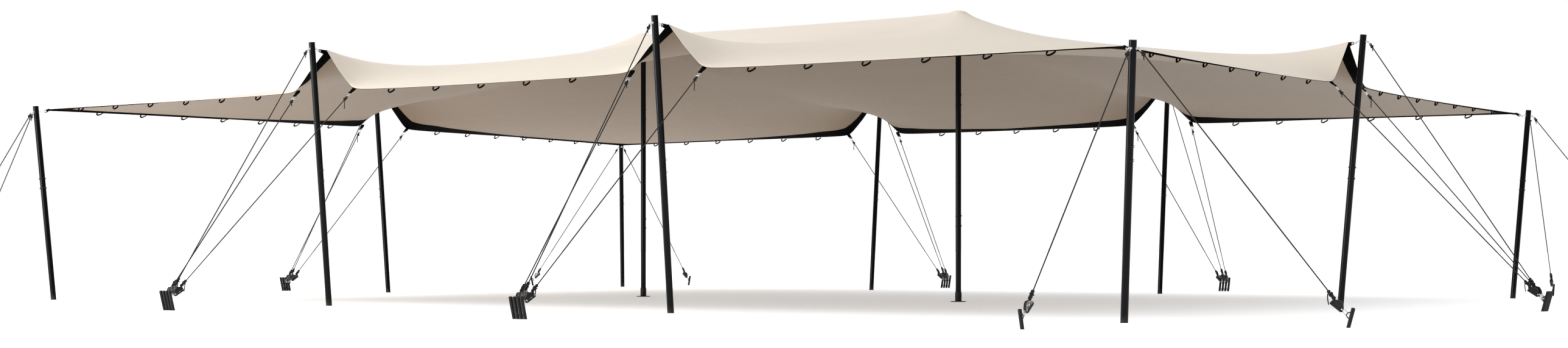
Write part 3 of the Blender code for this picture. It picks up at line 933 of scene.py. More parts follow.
@dataclass
class Canopy:
    """One continuous stretched sheet with its band, binding and edge loops."""

    plan: TentPlan
    palette: Palette
    split: int = 5
    fabric_thick: float = 0.004
    band_thick: float = 0.003
    band_wide: float = 0.14
    band_narrow: float = 0.065
    foot_patch: float = 0.085
    foot_patch_start: float = 0.4
    foot_patch_reach: float = 2.0
    band_reach: float = 1.5
    corner_patch: float = 0.17
    patch_reach: float = 0.40
    sweeps: int = 30
    rounds: int = 30
    over_relax: float = 1.8
    softenings: int = 10
    soften: float = 0.6
    crisp_peak: tuple[float, float] = (0.5, 1.6)
    crisp_head: float = 0.45
    head_reach: float = 0.11
    head_slope: float = 0.46
    tangent_step: float = 0.02
    loop_first: float = 1.11
    loop_step: float = 0.667
    loops_beyond: int = 7
    loops_between: int = 5
    loop_clear: float = 0.3
    loop_inner: float = 1.4
    loop_shift: float = 0.06
    loop_width: float = 0.022
    loop_thick: float = 0.0095
    loop_drop: float = 0.3
    loop_inset: float = 0.012
    loop_slant: Triple = (0.75, 0.5, 0.2)
    loop_outline: tuple = ((0.050, 0.0), (0.034, -0.014), (0.009, -0.026), (-0.016, -0.034), (-0.034, -0.035),
                           (-0.046, -0.028), (-0.048, -0.018), (-0.041, -0.008), (-0.030, 0.0))
    binding_radius: float = 0.0017
    strap_reach: tuple[float, float] = (2.25, 2.95)
    strap_start: tuple[float, float] = (0.013, 0.022)
    strap_end: tuple[float, float] = (0.008, 0.010)
    strap_thick: float = 0.003

    def __post_init__(self) -> None:
        """Find the sheet's shape."""
        self.along, self.across = self._lines()
        self.x, self.y = self._plan_points()
        self.z = self._stretched()

    def _lines(self) -> list[np.ndarray]:
        """Grid distances along and across the plan, with lines on the poles and gable feet."""
        plan = self.plan
        inner, outer = plan.pole_spacing - plan.gable_half, plan.pole_spacing + plan.gable_half
        along = np.concatenate([
            self._graded(0, inner, 5, ease_in=False),
            self._graded(inner, plan.pole_spacing, 3, False, False)[1:],
            self._graded(plan.pole_spacing, outer, 3, False, False)[1:],
            self._graded(outer, plan.half_length, 9)[1:],
        ])
        over = np.concatenate([
            self._graded(0, plan.gable_half, 3, False, False),
            self._graded(plan.gable_half, plan.half_width, 10)[1:],
        ])
        return [self._finer(np.concatenate([-half[:0:-1], half])) for half in (along, over)]

    @staticmethod
    def _graded(start: float, end: float, count: int, ease_in: bool = True,
                ease_out: bool = True) -> np.ndarray:
        """Distances from start to end, closer together at the eased ends.

        Args:
            start: first distance.
            end: last distance.
            count: number of steps.
            ease_in: whether they are closer together at the start.
            ease_out: whether they are closer together at the end.

        Returns:
            The distances.
        """
        t = np.linspace(0.0, 1.0, count + 1)
        eased = t
        if ease_in and ease_out:
            eased = (1 - np.cos(math.pi * t)) / 2
        elif ease_out:
            eased = np.sin(math.pi / 2 * t)
        return start + (end - start) * (0.35 * t + 0.65 * eased)

    def _finer(self, line: np.ndarray) -> np.ndarray:
        """Line with each step split evenly."""
        steps = np.arange((len(line) - 1) * self.split + 1) / self.split
        return np.interp(steps, np.arange(len(line)), line)

    def edge_height(self, distance: float, peak: float, end: float) -> float:
        """Height of a free edge at a distance from the middle of its side.

        Args:
            distance: place along the side, from its middle.
            peak: place of the side's gables.
            end: place of its corners.

        Returns:
            The height above the ground.
        """
        plan = self.plan
        d = abs(distance)
        from_peak = abs(d - peak)
        if d < peak:
            t = d / (peak - plan.gable_half)
            level = plan.mid_edge_z + (plan.foot_z - plan.mid_edge_z) * min(t, 1.0) ** 4
        else:
            t = min(max((d - peak - plan.gable_half) / (end - peak - plan.gable_half), 0.0), 1.0)
            level = plan.mid_edge_z + (plan.foot_z - plan.mid_edge_z) * (1 - t) ** 6
            level += (plan.corner_z - plan.mid_edge_z) * t ** 4
        leg = plan.side_peak_z - plan.gable_drop * from_peak
        rounding = 2 * plan.foot_rise * min(from_peak / (0.6 * plan.gable_half), 1.0)
        return (leg + level + math.hypot(leg - level, rounding)) / 2

    def edge_hollow(self, distance: float, peak: float, end: float) -> float:
        """How far a free edge curves in at a distance from the middle of its side.

        Args:
            distance: place along the side, from its middle.
            peak: place of the side's gables.
            end: place of its corners.

        Returns:
            The distance inwards.
        """
        plan = self.plan
        d = abs(distance)
        if abs(d - peak) < plan.gable_half:
            return 0.0
        if d < peak:
            t = d / (peak - plan.gable_half)
            return plan.edge_hollow * (1 - t * t)
        t = (d - peak - plan.gable_half) / (end - peak - plan.gable_half)
        return plan.edge_hollow * 4 * t * (1 - t)

    def _band_width(self, distance: float, peak: float, end: float) -> float:
        """Width of the black band: wide at a gable and past its feet, then narrow, with a corner patch.

        Args:
            distance: place along the side, from its middle.
            peak: place of the side's gables.
            end: place of its corners.

        Returns:
            The width.
        """
        d = abs(distance)
        beyond = max(abs(d - peak) - self.plan.gable_half, 0.0)
        gable = (self.band_wide - self.band_narrow) * math.exp(-(beyond / self.band_reach) ** 2)
        foot = min(beyond / self.foot_patch_start, 1.0) * math.exp(-(beyond / self.foot_patch_reach) ** 4)
        corner = math.exp(-((end - d) / self.patch_reach) ** 2)
        return self.band_narrow + gable + self.foot_patch * foot + self.corner_patch * corner

    def _plan_points(self) -> tuple[np.ndarray, np.ndarray]:
        """Plan positions of the grid, with hollow sides and the band's inner edge on a line."""
        plan = self.plan
        x, y = np.meshgrid(self.along, self.across, indexing="ij")
        long_inset = np.array([self.edge_hollow(s, plan.pole_spacing, plan.half_length) for s in self.along])
        long_inset += plan.corner_tuck * (np.abs(self.along) / plan.half_length) ** 8
        near_peak = np.clip(1 - np.abs(np.abs(self.along) - plan.pole_spacing) / (plan.gable_half / 2), 0, 1)
        long_inset += (plan.half_width - plan.side_peak_y) * near_peak
        short_inset = np.array([self.edge_hollow(s, 0.0, plan.half_width) for s in self.across])
        fade = np.clip(1 - np.abs(self.across) / plan.half_width, 0, 1) ** 0.5
        short_inset += (plan.half_length - plan.short_side_x) * fade
        y = y - np.sign(y) * long_inset[:, None] * (np.abs(y) / plan.half_width) ** 3
        x = x - np.sign(x) * short_inset[None, :] * (np.abs(x) / plan.half_length) ** 8
        for i, s in enumerate(self.along):
            self._place_band(y[i, :], self._band_width(s, plan.pole_spacing, plan.half_length))
        for j, s in enumerate(self.across):
            self._place_band(x[:, j], self._band_width(s, 0.0, plan.half_width))
        return x, y

    def _place_band(self, line: np.ndarray, width: float) -> None:
        """Move one grid line's points so that the first step at each end is the band."""
        n = self.split
        share = np.arange(n + 1) / n
        for row in (line, line[::-1]):
            way = np.sign(row[n] - row[0])
            far = row[3 * n]
            row[:n + 1] = row[0] + way * width * share
            steps = np.arange(1, 2 * n + 1) / (2 * n)
            row[n + 1:3 * n + 1] = row[n] + (far - row[n]) * steps

    def _ridge(self, t: np.ndarray, sag: float) -> np.ndarray:
        """Height of a ridge at t of the way from a side peak to the centre pole."""
        plan = self.plan
        t = np.clip(t, 0.0, 1.0)
        chord = plan.side_peak_z + (plan.centre_peak_z - plan.side_peak_z) * t
        return chord - sag * (1 - np.abs(2 * t - 1) ** plan.ridge_power)

    def _known(self) -> np.ndarray:
        """Heights that the edges, ridges and pole heads fix; the rest are NaN."""
        plan, x, y = self.plan, self.x, self.y
        z = np.full(x.shape, np.nan)
        middle = len(self.across) // 2
        between = np.abs(self.along) < plan.pole_spacing
        lift = plan.ridge_lift * np.abs(self.along[between] / plan.pole_spacing) ** 3
        z[between, middle] = plan.ridge_z + lift
        beyond = np.abs(self.along) > plan.pole_spacing
        t = (plan.end_peak_x - np.abs(x[beyond, middle])) / (plan.end_peak_x - plan.pole_spacing)
        z[beyond, middle] = self._ridge(t, plan.ridge_sag_short)
        for i in np.flatnonzero(np.isclose(np.abs(self.along), plan.pole_spacing)):
            t = (plan.side_peak_y - np.abs(y[i, :])) / plan.side_peak_y
            z[i, :] = self._ridge(t, plan.ridge_sag_long)
            z[i, middle] = plan.centre_peak_z
        heads = self._head_distances()
        near = heads < self.head_reach
        z[near] = plan.centre_peak_z - self.head_slope * heads[near] ** 2 / (2 * self.head_reach)
        z[:, 0] = z[:, -1] = [self.edge_height(s, plan.pole_spacing, plan.half_length) for s in self.along]
        z[0, :] = z[-1, :] = [self.edge_height(s, 0.0, plan.half_width) for s in self.across]
        return z

    def _pulls(self, z: np.ndarray | None = None) -> dict[tuple[int, int], np.ndarray]:
        """Strength of the links from every grid point to its eight neighbours.

        Args:
            z: present heights, which make the sheet pull harder where it is steeper, or None
                for an even pull.

        Returns:
            For each step to a neighbour, the strength at every point.
        """
        rows, columns = self.x.shape
        pulls = {(i, j): np.zeros((rows, columns)) for i in (-1, 0, 1) for j in (-1, 0, 1) if i or j}

        def window(corner: tuple[int, int]) -> tuple[slice, slice]:
            """Points at one corner of every cell."""
            return slice(corner[0], rows - 1 + corner[0]), slice(corner[1], columns - 1 + corner[1])

        for corners in (((0, 0), (1, 0), (1, 1)), ((0, 0), (1, 1), (0, 1)), ((0, 0), (1, 0), (0, 1)),
                        ((1, 0), (1, 1), (0, 1))):
            places = [(self.x[window(c)], self.y[window(c)]) for c in corners]
            (ax, ay), (bx, by), (cx, cy) = places
            area = (bx - ax) * (cy - ay) - (cx - ax) * (by - ay)
            pull = np.ones_like(area)
            if z is not None:
                a, b, c = (z[window(corner)] for corner in corners)
                slope_x = ((b - a) * (cy - ay) - (c - a) * (by - ay)) / area
                slope_y = ((c - a) * (bx - ax) - (b - a) * (cx - ax)) / area
                pull = self.plan.prestress + slope_x ** 2 + slope_y ** 2
            for k in range(3):
                u, v, w = (corners[(k + n) % 3] for n in range(3))
                (ux, uy), (vx, vy), (wx, wy) = (places[(k + n) % 3] for n in range(3))
                share = pull * ((ux - wx) * (vx - wx) + (uy - wy) * (vy - wy)) / area
                pulls[v[0] - u[0], v[1] - u[1]][window(u)] += share
                pulls[u[0] - v[0], u[1] - v[1]][window(v)] += share
        return pulls

    @staticmethod
    def _pulled(pulls: dict, z: np.ndarray, first: tuple[int, int], step: int) -> np.ndarray:
        """Height to which its neighbours pull each inner grid point, or every second one.

        Args:
            pulls: strength of the links for each step to a neighbour.
            z: present heights.
            first: row and column of the first point.
            step: 1 for every point or 2 for every second.

        Returns:
            The heights.
        """
        rows, columns = z.shape

        def window(i: int, j: int) -> tuple[slice, slice]:
            """The chosen points moved by one step."""
            return slice(first[0] + i, rows - 1 + i, step), slice(first[1] + j, columns - 1 + j, step)

        here = window(0, 0)
        total = sum(pull[here] for pull in pulls.values())
        return sum(pull[here] * z[window(*way)] for way, pull in pulls.items()) / total

    def _stretched(self) -> np.ndarray:
        """Heights of the whole sheet, relaxed from a first guess."""
        known = self._known()
        fixed = ~np.isnan(known)
        z = np.where(fixed, known, self._first_guess(known))
        rows, columns = z.shape
        for _ in range(self.rounds):
            pulls = self._pulls(z)
            before = z.copy()
            for _ in range(self.sweeps):
                for first in ((1, 1), (1, 2), (2, 1), (2, 2)):
                    here = slice(first[0], rows - 1, 2), slice(first[1], columns - 1, 2)
                    move = self.over_relax * (self._pulled(pulls, z, first, 2) - z[here])
                    z[here] += np.where(fixed[here], 0.0, move)
            z = (z + before) / 2
        return self._soft_ridges(z)

    def _first_guess(self, known: np.ndarray) -> np.ndarray:
        """Heights blended across the plan between the fixed ridges and the edges."""
        guess = np.empty_like(known)
        for i in range(known.shape[0]):
            set_here = ~np.isnan(known[i])
            guess[i] = np.interp(self.across, self.across[set_here], known[i][set_here])
        for j in range(known.shape[1]):
            set_here = ~np.isnan(known[:, j])
            guess[:, j] += np.interp(self.along, self.along[set_here], known[set_here, j])
        return guess / 2

    def _distances(self, places: list[Vector]) -> np.ndarray:
        """Plan distance of each grid point from the nearest of some places."""
        return np.min([np.hypot(self.x - p.x, self.y - p.y) for p in places], axis=0)

    def _head_distances(self) -> np.ndarray:
        """Plan distance of each grid point from the nearer centre pole."""
        return self._distances([Vector((way * self.plan.pole_spacing, 0, 0)) for way in (-1, 1)])

    def _soft_ridges(self, z: np.ndarray) -> np.ndarray:
        """Round the ridges, away from the gables and the pole heads."""
        peaks = [self.plan.gable_peak(side) for side in Side]
        from_peak, from_head = self._distances(peaks), self._head_distances()
        free = np.clip((from_peak - self.crisp_peak[0]) / self.crisp_peak[1], 0, 1)
        free = np.minimum(free, np.clip((from_head - self.head_reach) / self.crisp_head, 0, 1))
        pulls = self._pulls()
        inner = slice(1, -1), slice(1, -1)
        for _ in range(self.softenings):
            z[inner] += self.soften * free[inner] * (self._pulled(pulls, z, (1, 1), 1) - z[inner])
        return z

    def border_line(self, border: Border) -> np.ndarray:
        """Points of an edge of the canopy, in order of the coordinate that changes along it."""
        grid = np.stack([self.x, self.y, self.z], axis=-1)
        lines = {
            Border.FRONT: grid[:, 0],
            Border.BACK: grid[:, -1],
            Border.LEFT_END: grid[0],
            Border.RIGHT_END: grid[-1],
        }
        return lines[border]

    def edge_place(self, border: Border, distance: float) -> tuple[Vector, Vector]:
        """Point on an edge and the direction along it.

        Args:
            border: which edge.
            distance: the point's X on a long side, or Y on a short side.

        Returns:
            The point and the unit tangent.
        """
        line = self.border_line(border)
        free = line[:, 0] if border.is_long else line[:, 1]
        spots = []
        for place in (distance - self.tangent_step, distance, distance + self.tangent_step):
            spots.append(Vector([np.interp(place, free, column) for column in line.T]))
        before, here, after = spots
        return here, unit(after - before)

    def _sheet(self, name: str, upper: float, lower: float, keep: np.ndarray, finishes: tuple,
               slots: tuple[int, int]) -> bpy.types.Object:
        """Closed sheet over some cells of the grid.

        Args:
            name: the piece's name.
            upper: distance of its upper face below the fabric's outside.
            lower: distance of its lower face below the fabric's outside.
            keep: which cells it covers.
            finishes: its materials.
            slots: material numbers of its upper face and rim, and of its lower face.

        Returns:
            The object.
        """
        work = Workpiece(name, *finishes)
        rows, columns = self.x.shape
        used = np.zeros((rows, columns), bool)
        cells = list(zip(*np.nonzero(keep)))
        for i, j in cells:
            used[i:i + 2, j:j + 2] = True
        number = -np.ones((rows, columns), int)
        number[used] = np.arange(used.sum())
        flat = np.stack([self.x[used], self.y[used], self.z[used]], axis=-1)
        tops = flat - [0, 0, upper]
        bottoms = flat - [0, 0, lower]
        count = len(flat)
        top_faces, low_faces = [], []
        for i, j in cells:
            a, b, c, d = (int(number[p]) for p in ((i, j), (i + 1, j), (i + 1, j + 1), (i, j + 1)))
            top_faces.append((a, b, c, d))
            low_faces.append(tuple(k + count for k in (a, d, c, b)))
            sides = (((i, j - 1), a, b), ((i + 1, j), b, c), ((i, j + 1), c, d), ((i - 1, j), d, a))
            for (p, q), first, second in sides:
                inside = 0 <= p < rows - 1 and 0 <= q < columns - 1
                if not (inside and keep[p, q]):
                    top_faces.append((second, first, first + count, second + count))
        work.add(np.concatenate([tops, bottoms]).tolist(), top_faces + low_faces, 0)
        work.slots = [slots[0]] * len(top_faces) + [slots[1]] * len(low_faces)
        return work.make(60.0)

    def build(self) -> None:
        """Make the fabric, the band, the binding and the loops."""
        cells = np.ones((len(self.along) - 1, len(self.across) - 1), bool)
        # The lower face takes the underside finish, whose darker colours are painted shade.
        finishes = (self.palette.outside, self.palette.inside)
        fabric = self._sheet("canopy_fabric", 0.0, self.fabric_thick, cells, finishes, (0, 1))
        settle(fabric, "fabric", "canopy")
        border = cells.copy()
        border[self.split:-self.split, self.split:-self.split] = False
        start = self.fabric_thick + 0.0004
        band = self._sheet("edge_band_webbing", start, start + self.band_thick, border,
                           (self.palette.webbing,), (0, 0))
        settle(band, "webbing", "edge_band")
        binding = self._binding()
        loops = [self._loops(edge) for edge in Border]

    def _binding(self) -> bpy.types.Object:
        """Thin black cord under the whole rim, with a hanging strap on both sides of each corner."""
        work = Workpiece("edge_binding", self.palette.webbing)
        drop = Vector((0, 0, self.fabric_thick + self.binding_radius * 0.5))
        ring = []
        round_trip = {Border.FRONT: 1, Border.RIGHT_END: 1, Border.BACK: -1, Border.LEFT_END: -1}
        for border, way in round_trip.items():
            line = self.border_line(border)[::way]
            ring += [Vector(p) - drop for p in line[:-1]]
        work.tube(ring, self.binding_radius, 6, closed=True)
        for border in Border:
            line = self.border_line(border)
            for ordered in (line, line[::-1]):
                self._strap(work, ordered, 0 if border.is_long else 1)
        return settle(work.make(60.0), "webbing")

    def _strap(self, work: Workpiece, line: np.ndarray, kind: int) -> None:
        """Upright strap along an edge from its corner, which gets lower with distance.

        Args:
            work: the piece that takes it.
            line: points of the edge, from the corner on.
            kind: 0 on a long side and 1 on a short side.
        """
        reach, first, last = self.strap_reach[kind], self.strap_start[kind], self.strap_end[kind]
        away = np.hypot(*(line[:, :2] - line[0, :2]).T)
        line = line[away < reach]
        heights = [first + (last - first) * a / reach for a in away[away < reach]]
        centre = Vector((0, 0, line[0][2]))
        path = []
        for point, height in zip(line, heights):
            inward = unit(centre - Vector((point[0], point[1], centre.z))) * self.strap_thick
            path.append(Vector(point) + inward - UP * (self.fabric_thick * 0.8 + height / 2))
        work.ribbon(path, UP, heights, self.strap_thick)

    def _loops(self, border: Border) -> bpy.types.Object:
        """Small webbing loops that hang under one edge."""
        work = Workpiece(f"edge_loops_{border.value}", self.palette.webbing)
        plan = self.plan
        peak, end = (plan.pole_spacing, plan.half_length) if border.is_long else (0.0, plan.half_width)
        outer = [peak + self.loop_first + self.loop_step * k for k in range(self.loops_beyond)]
        places = [way * place for place in outer for way in (-1, 1)]
        if border.is_long:
            start = -self.loop_inner if border is Border.FRONT else self.loop_inner
            places += [start - math.copysign(self.loop_step * k, start) for k in range(self.loops_between)]
            places = [place + math.copysign(self.loop_shift, start) for place in places]
        for distance in places:
            if abs(distance) < end - self.loop_clear:
                self._loop(work, *self.edge_place(border, distance))
        return settle(work.make(45.0), "webbing")

    def _loop(self, work: Workpiece, place: Vector, tangent: Vector) -> None:
        """One loop: a strap sewn to the band at both ends that hangs down and to one side.

        Args:
            work: piece that takes it.
            place: point on the edge.
            tangent: direction of the edge.
        """
        start = place - UP * (self.fabric_thick + self.band_thick + self.loop_width * self.loop_drop)
        inward = -unit(Vector((place.x / self.plan.half_length ** 2, place.y / self.plan.half_width ** 2, 0)))
        way = 1 if tangent.dot(Vector((1, 1, 0))) > 0 else -1
        cross, rise, lean = self.loop_slant
        wide = unit(tangent.cross(UP) * cross + UP * rise + tangent * lean)
        base = start + inward * self.loop_inset
        path = [base + tangent * (a * way) + UP * b for a, b in self.loop_outline]
        work.ribbon(path, wide, self.loop_width, self.loop_thick)


# Poles


@dataclass
class Poles:
    """Tubes with pinned joints, eyes at their open tops, padded heads and base plates."""

    plan: TentPlan
    palette: Palette
    wall: float = 0.004
    open_depth: float = 0.18
    groove: float = 0.0006
    pin_offset: float = 0.062
    pin_head: float = 0.0068
    pin_reach: float = 0.011
    bail_reach: float = 0.010
    bail_half: float = 0.0068
    bail_wire: float = 0.0019
    rim_cut: float = 0.003
    seat_depth: float = 0.001
    side_joint: float = 1.5
    centre_joints: tuple[float, float] = (1.0, 2.5)
    head_clear: float = 0.0135
    head_radius: float = 0.11
    head_depth: float = 0.09
    head_outline: tuple = ((0, 0.0895), (0.7, 0.088), (0.8, 0.078), (0.78, 0.068), (0.66, 0.055),
                           (0.48, 0.042), (0.34, 0.028), (0.18, 0.013), (0, 0.001))
    collar_clear: float = 0.0003
    collar_wall: float = 0.005
    collar_height: float = 0.12
    collar_bolt: float = 0.007
    plate_radius: float = 0.095
    plate_thick: float = 0.008
    plate_cut: float = 0.002

    def _tube_profile(self, length: float, joints: list[float], open_top: bool) -> list[tuple[float, float]]:
        """Section of a pole from its foot to its top, with a groove at each joint.

        Args:
            length: length of the tube.
            joints: distances of its joints from the foot.
            open_top: whether the tube ends open and hollow.

        Returns:
            Pairs of radius and distance along the tube.
        """
        radius = self.plan.pole_radius
        g = self.groove
        profile = [(0, 0.0), (radius - self.rim_cut, 0.0), (radius, self.rim_cut)]
        for joint in joints:
            profile += [(radius, joint - 2 * g), (radius - g, joint - g), (radius - g, joint + g),
                        (radius, joint + 2 * g)]
        inner = radius - self.wall
        if open_top:
            profile += [(radius, length - g), (radius - g, length), (inner + g, length), (inner, length - g),
                        (inner, length - self.open_depth), (0, length - self.open_depth)]
        return profile

    def _pins(self, work: Workpiece, foot: Vector, axis: Vector, joints: list[float], way: Vector) -> None:
        """Two lock pins at each joint, each with a round head, a tip and a wire bail round the tube.

        Args:
            work: the pole's piece.
            foot: foot of the pole.
            axis: direction of the pole.
            joints: distances of the joints from the foot.
            way: direction of the pins' heads.
        """
        radius = self.plan.pole_radius
        seat = radius - self.seat_depth
        r, reach = self.pin_head, self.pin_reach
        knob = [(0, 0), (r, 0), (r, reach * 0.55), (r * 0.7, reach * 0.9), (0, reach)]
        tip = [(0, 0), (r * 0.75, 0), (r * 0.75, reach * 0.7), (r * 0.45, reach * 0.95), (0, reach * 0.95)]
        wire = radius + self.bail_reach * 0.6
        head = square_to(way, axis)
        beside = head.cross(axis)
        beside = beside if beside.x > 0 else -beside
        for joint in joints:
            for offset in (-self.pin_offset, self.pin_offset):
                middle = foot + axis * (joint + offset)
                work.turned(knob, middle + head * seat, head, 14, 1)
                work.turned(tip, middle - head * seat, -head, 12, 1)
                for level in (-0.4, 1.6):
                    bail = []
                    for k in range(13):
                        angle = math.pi * k / 12
                        bulge = wire + self.bail_reach * 0.4 * math.sin(angle)
                        height = self.bail_half * level * min(1.0, 2.4 * math.sin(angle) + 0.25)
                        bail.append(middle + (head * math.cos(angle) + beside * math.sin(angle)) * bulge
                                    + axis * height)
                    work.tube(bail, self.bail_wire, 6, 1)

    def _top_eyes(self, work: Workpiece, foot: Vector, top: Vector, directions: list[Vector]) -> None:
        """Eye bolt ends that carry the shackles just below the top.

        Args:
            work: the pole's piece.
            foot: foot of the pole.
            top: top of the pole.
            directions: level directions in which eyes stand out.
        """
        axis = unit(top - foot)
        for direction in directions:
            base = self.plan.beside(foot, top, direction, -self.seat_depth)
            out = unit(base - (top - axis * self.plan.top_hole))
            rim = [(0.0, 0.0), (0.011, 0.0), (0.011, 0.002), (0.006, 0.004), (0.0, 0.004)]
            work.turned(rim, base, out, 16, 2)
            ring = arc(base + out * 0.012, out * 0.009, axis * 0.009, 0, 345, 16)
            work.tube(ring, 0.003, 8, 2, closed=True)

    def _leaning(self, name: str, foot: Vector, top: Vector, pins: Vector, eyes: list[Vector]) -> None:
        """One leaning pole, cut level at the ground.

        Args:
            name: the pole's CAD node.
            foot: foot of the pole.
            top: top of the pole.
            pins: direction of the pins' heads.
            eyes: directions of the eyes.
        """
        work = Workpiece(f"{name}_detail", self.palette.pole, self.palette.forged, self.palette.bright)
        axis = unit(top - foot)
        profile = self._tube_profile((top - foot).length, [self.side_joint], True)
        work.turned(profile, foot, axis, 32)
        work.level_foot(0, foot, axis, self.rim_cut * 1.03)
        self._pins(work, foot, axis, [self.side_joint], pins)
        self._top_eyes(work, foot, top, eyes)
        settle(work.make(), "pole", name)

    def _centre(self, name: str, way: int) -> None:
        """One upright centre pole with its padded head under the fabric."""
        work = Workpiece(f"{name}_detail", self.palette.pole, self.palette.forged, self.palette.webbing)
        foot = Vector((way * self.plan.pole_spacing, 0, self.plate_thick))
        head = self.plan.centre_peak_z - self.plate_thick - self.head_clear
        end = head - self.head_depth
        joints = [joint - self.plate_thick for joint in self.centre_joints]
        profile = self._tube_profile(head, joints, False) + [(self.plan.pole_radius, end), (0, end)]
        work.turned(profile, foot, UP, 32)
        pad = [(self.head_radius * share, head - depth) for share, depth in self.head_outline]
        work.turned(pad, foot, UP, 40, 2)
        self._pins(work, foot, UP, joints, Vector((1, 0, 0)))
        settle(work.make(), "pole", name)

    def _base_plate(self, name: str, way: int) -> None:
        """Round base plate with a welded collar."""
        work = Workpiece(f"{name}_detail", self.palette.forged)
        inner = self.plan.pole_radius + self.collar_clear
        outer = inner + self.collar_wall
        r, t, c, tall = self.plate_radius, self.plate_thick, self.plate_cut, self.collar_height
        profile = [(0, 0), (r - c, 0), (r, c), (r, t - c), (r - c, t), (outer + c * 3, t),
                   (outer + c, t + c), (outer, t + c * 3), (outer, tall - c), (outer - c, tall),
                   (inner, tall), (inner, t), (0, t)]
        place = Vector((way * self.plan.pole_spacing, 0, 0))
        work.turned(profile, place, UP, 48)
        for side in (-1, 1):
            seat = place + Vector((side * (outer - self.seat_depth), 0, tall * 0.6))
            work.bolt(seat, Vector((side, 0, 0)), self.collar_bolt, self.collar_bolt)
        settle(work.make(), "steel", name)

    def build(self) -> None:
        """Make every pole and base plate."""
        for side in Side:
            foot, top = self.plan.side_pole(side)
            self._leaning(f"side_pole_{side.label}", foot, top, side.outward, [side.outward, -side.outward])
        for corner in Corner:
            foot, top = self.plan.corner_pole(corner)
            sx, sy = corner.signs
            eyes = [Vector((-sx, -sy, 0)), Vector((sx, 0, 0)), Vector((0, sy, 0))]
            self._leaning(f"corner_pole_{corner.label}", foot, top, Vector((sx, sy, 0)), eyes)
        for name, way in (("left", -1), ("right", 1)):
            self._centre(f"centre_pole_{name}", way)
            self._base_plate(f"base_plate_{name}", way)


# Fittings


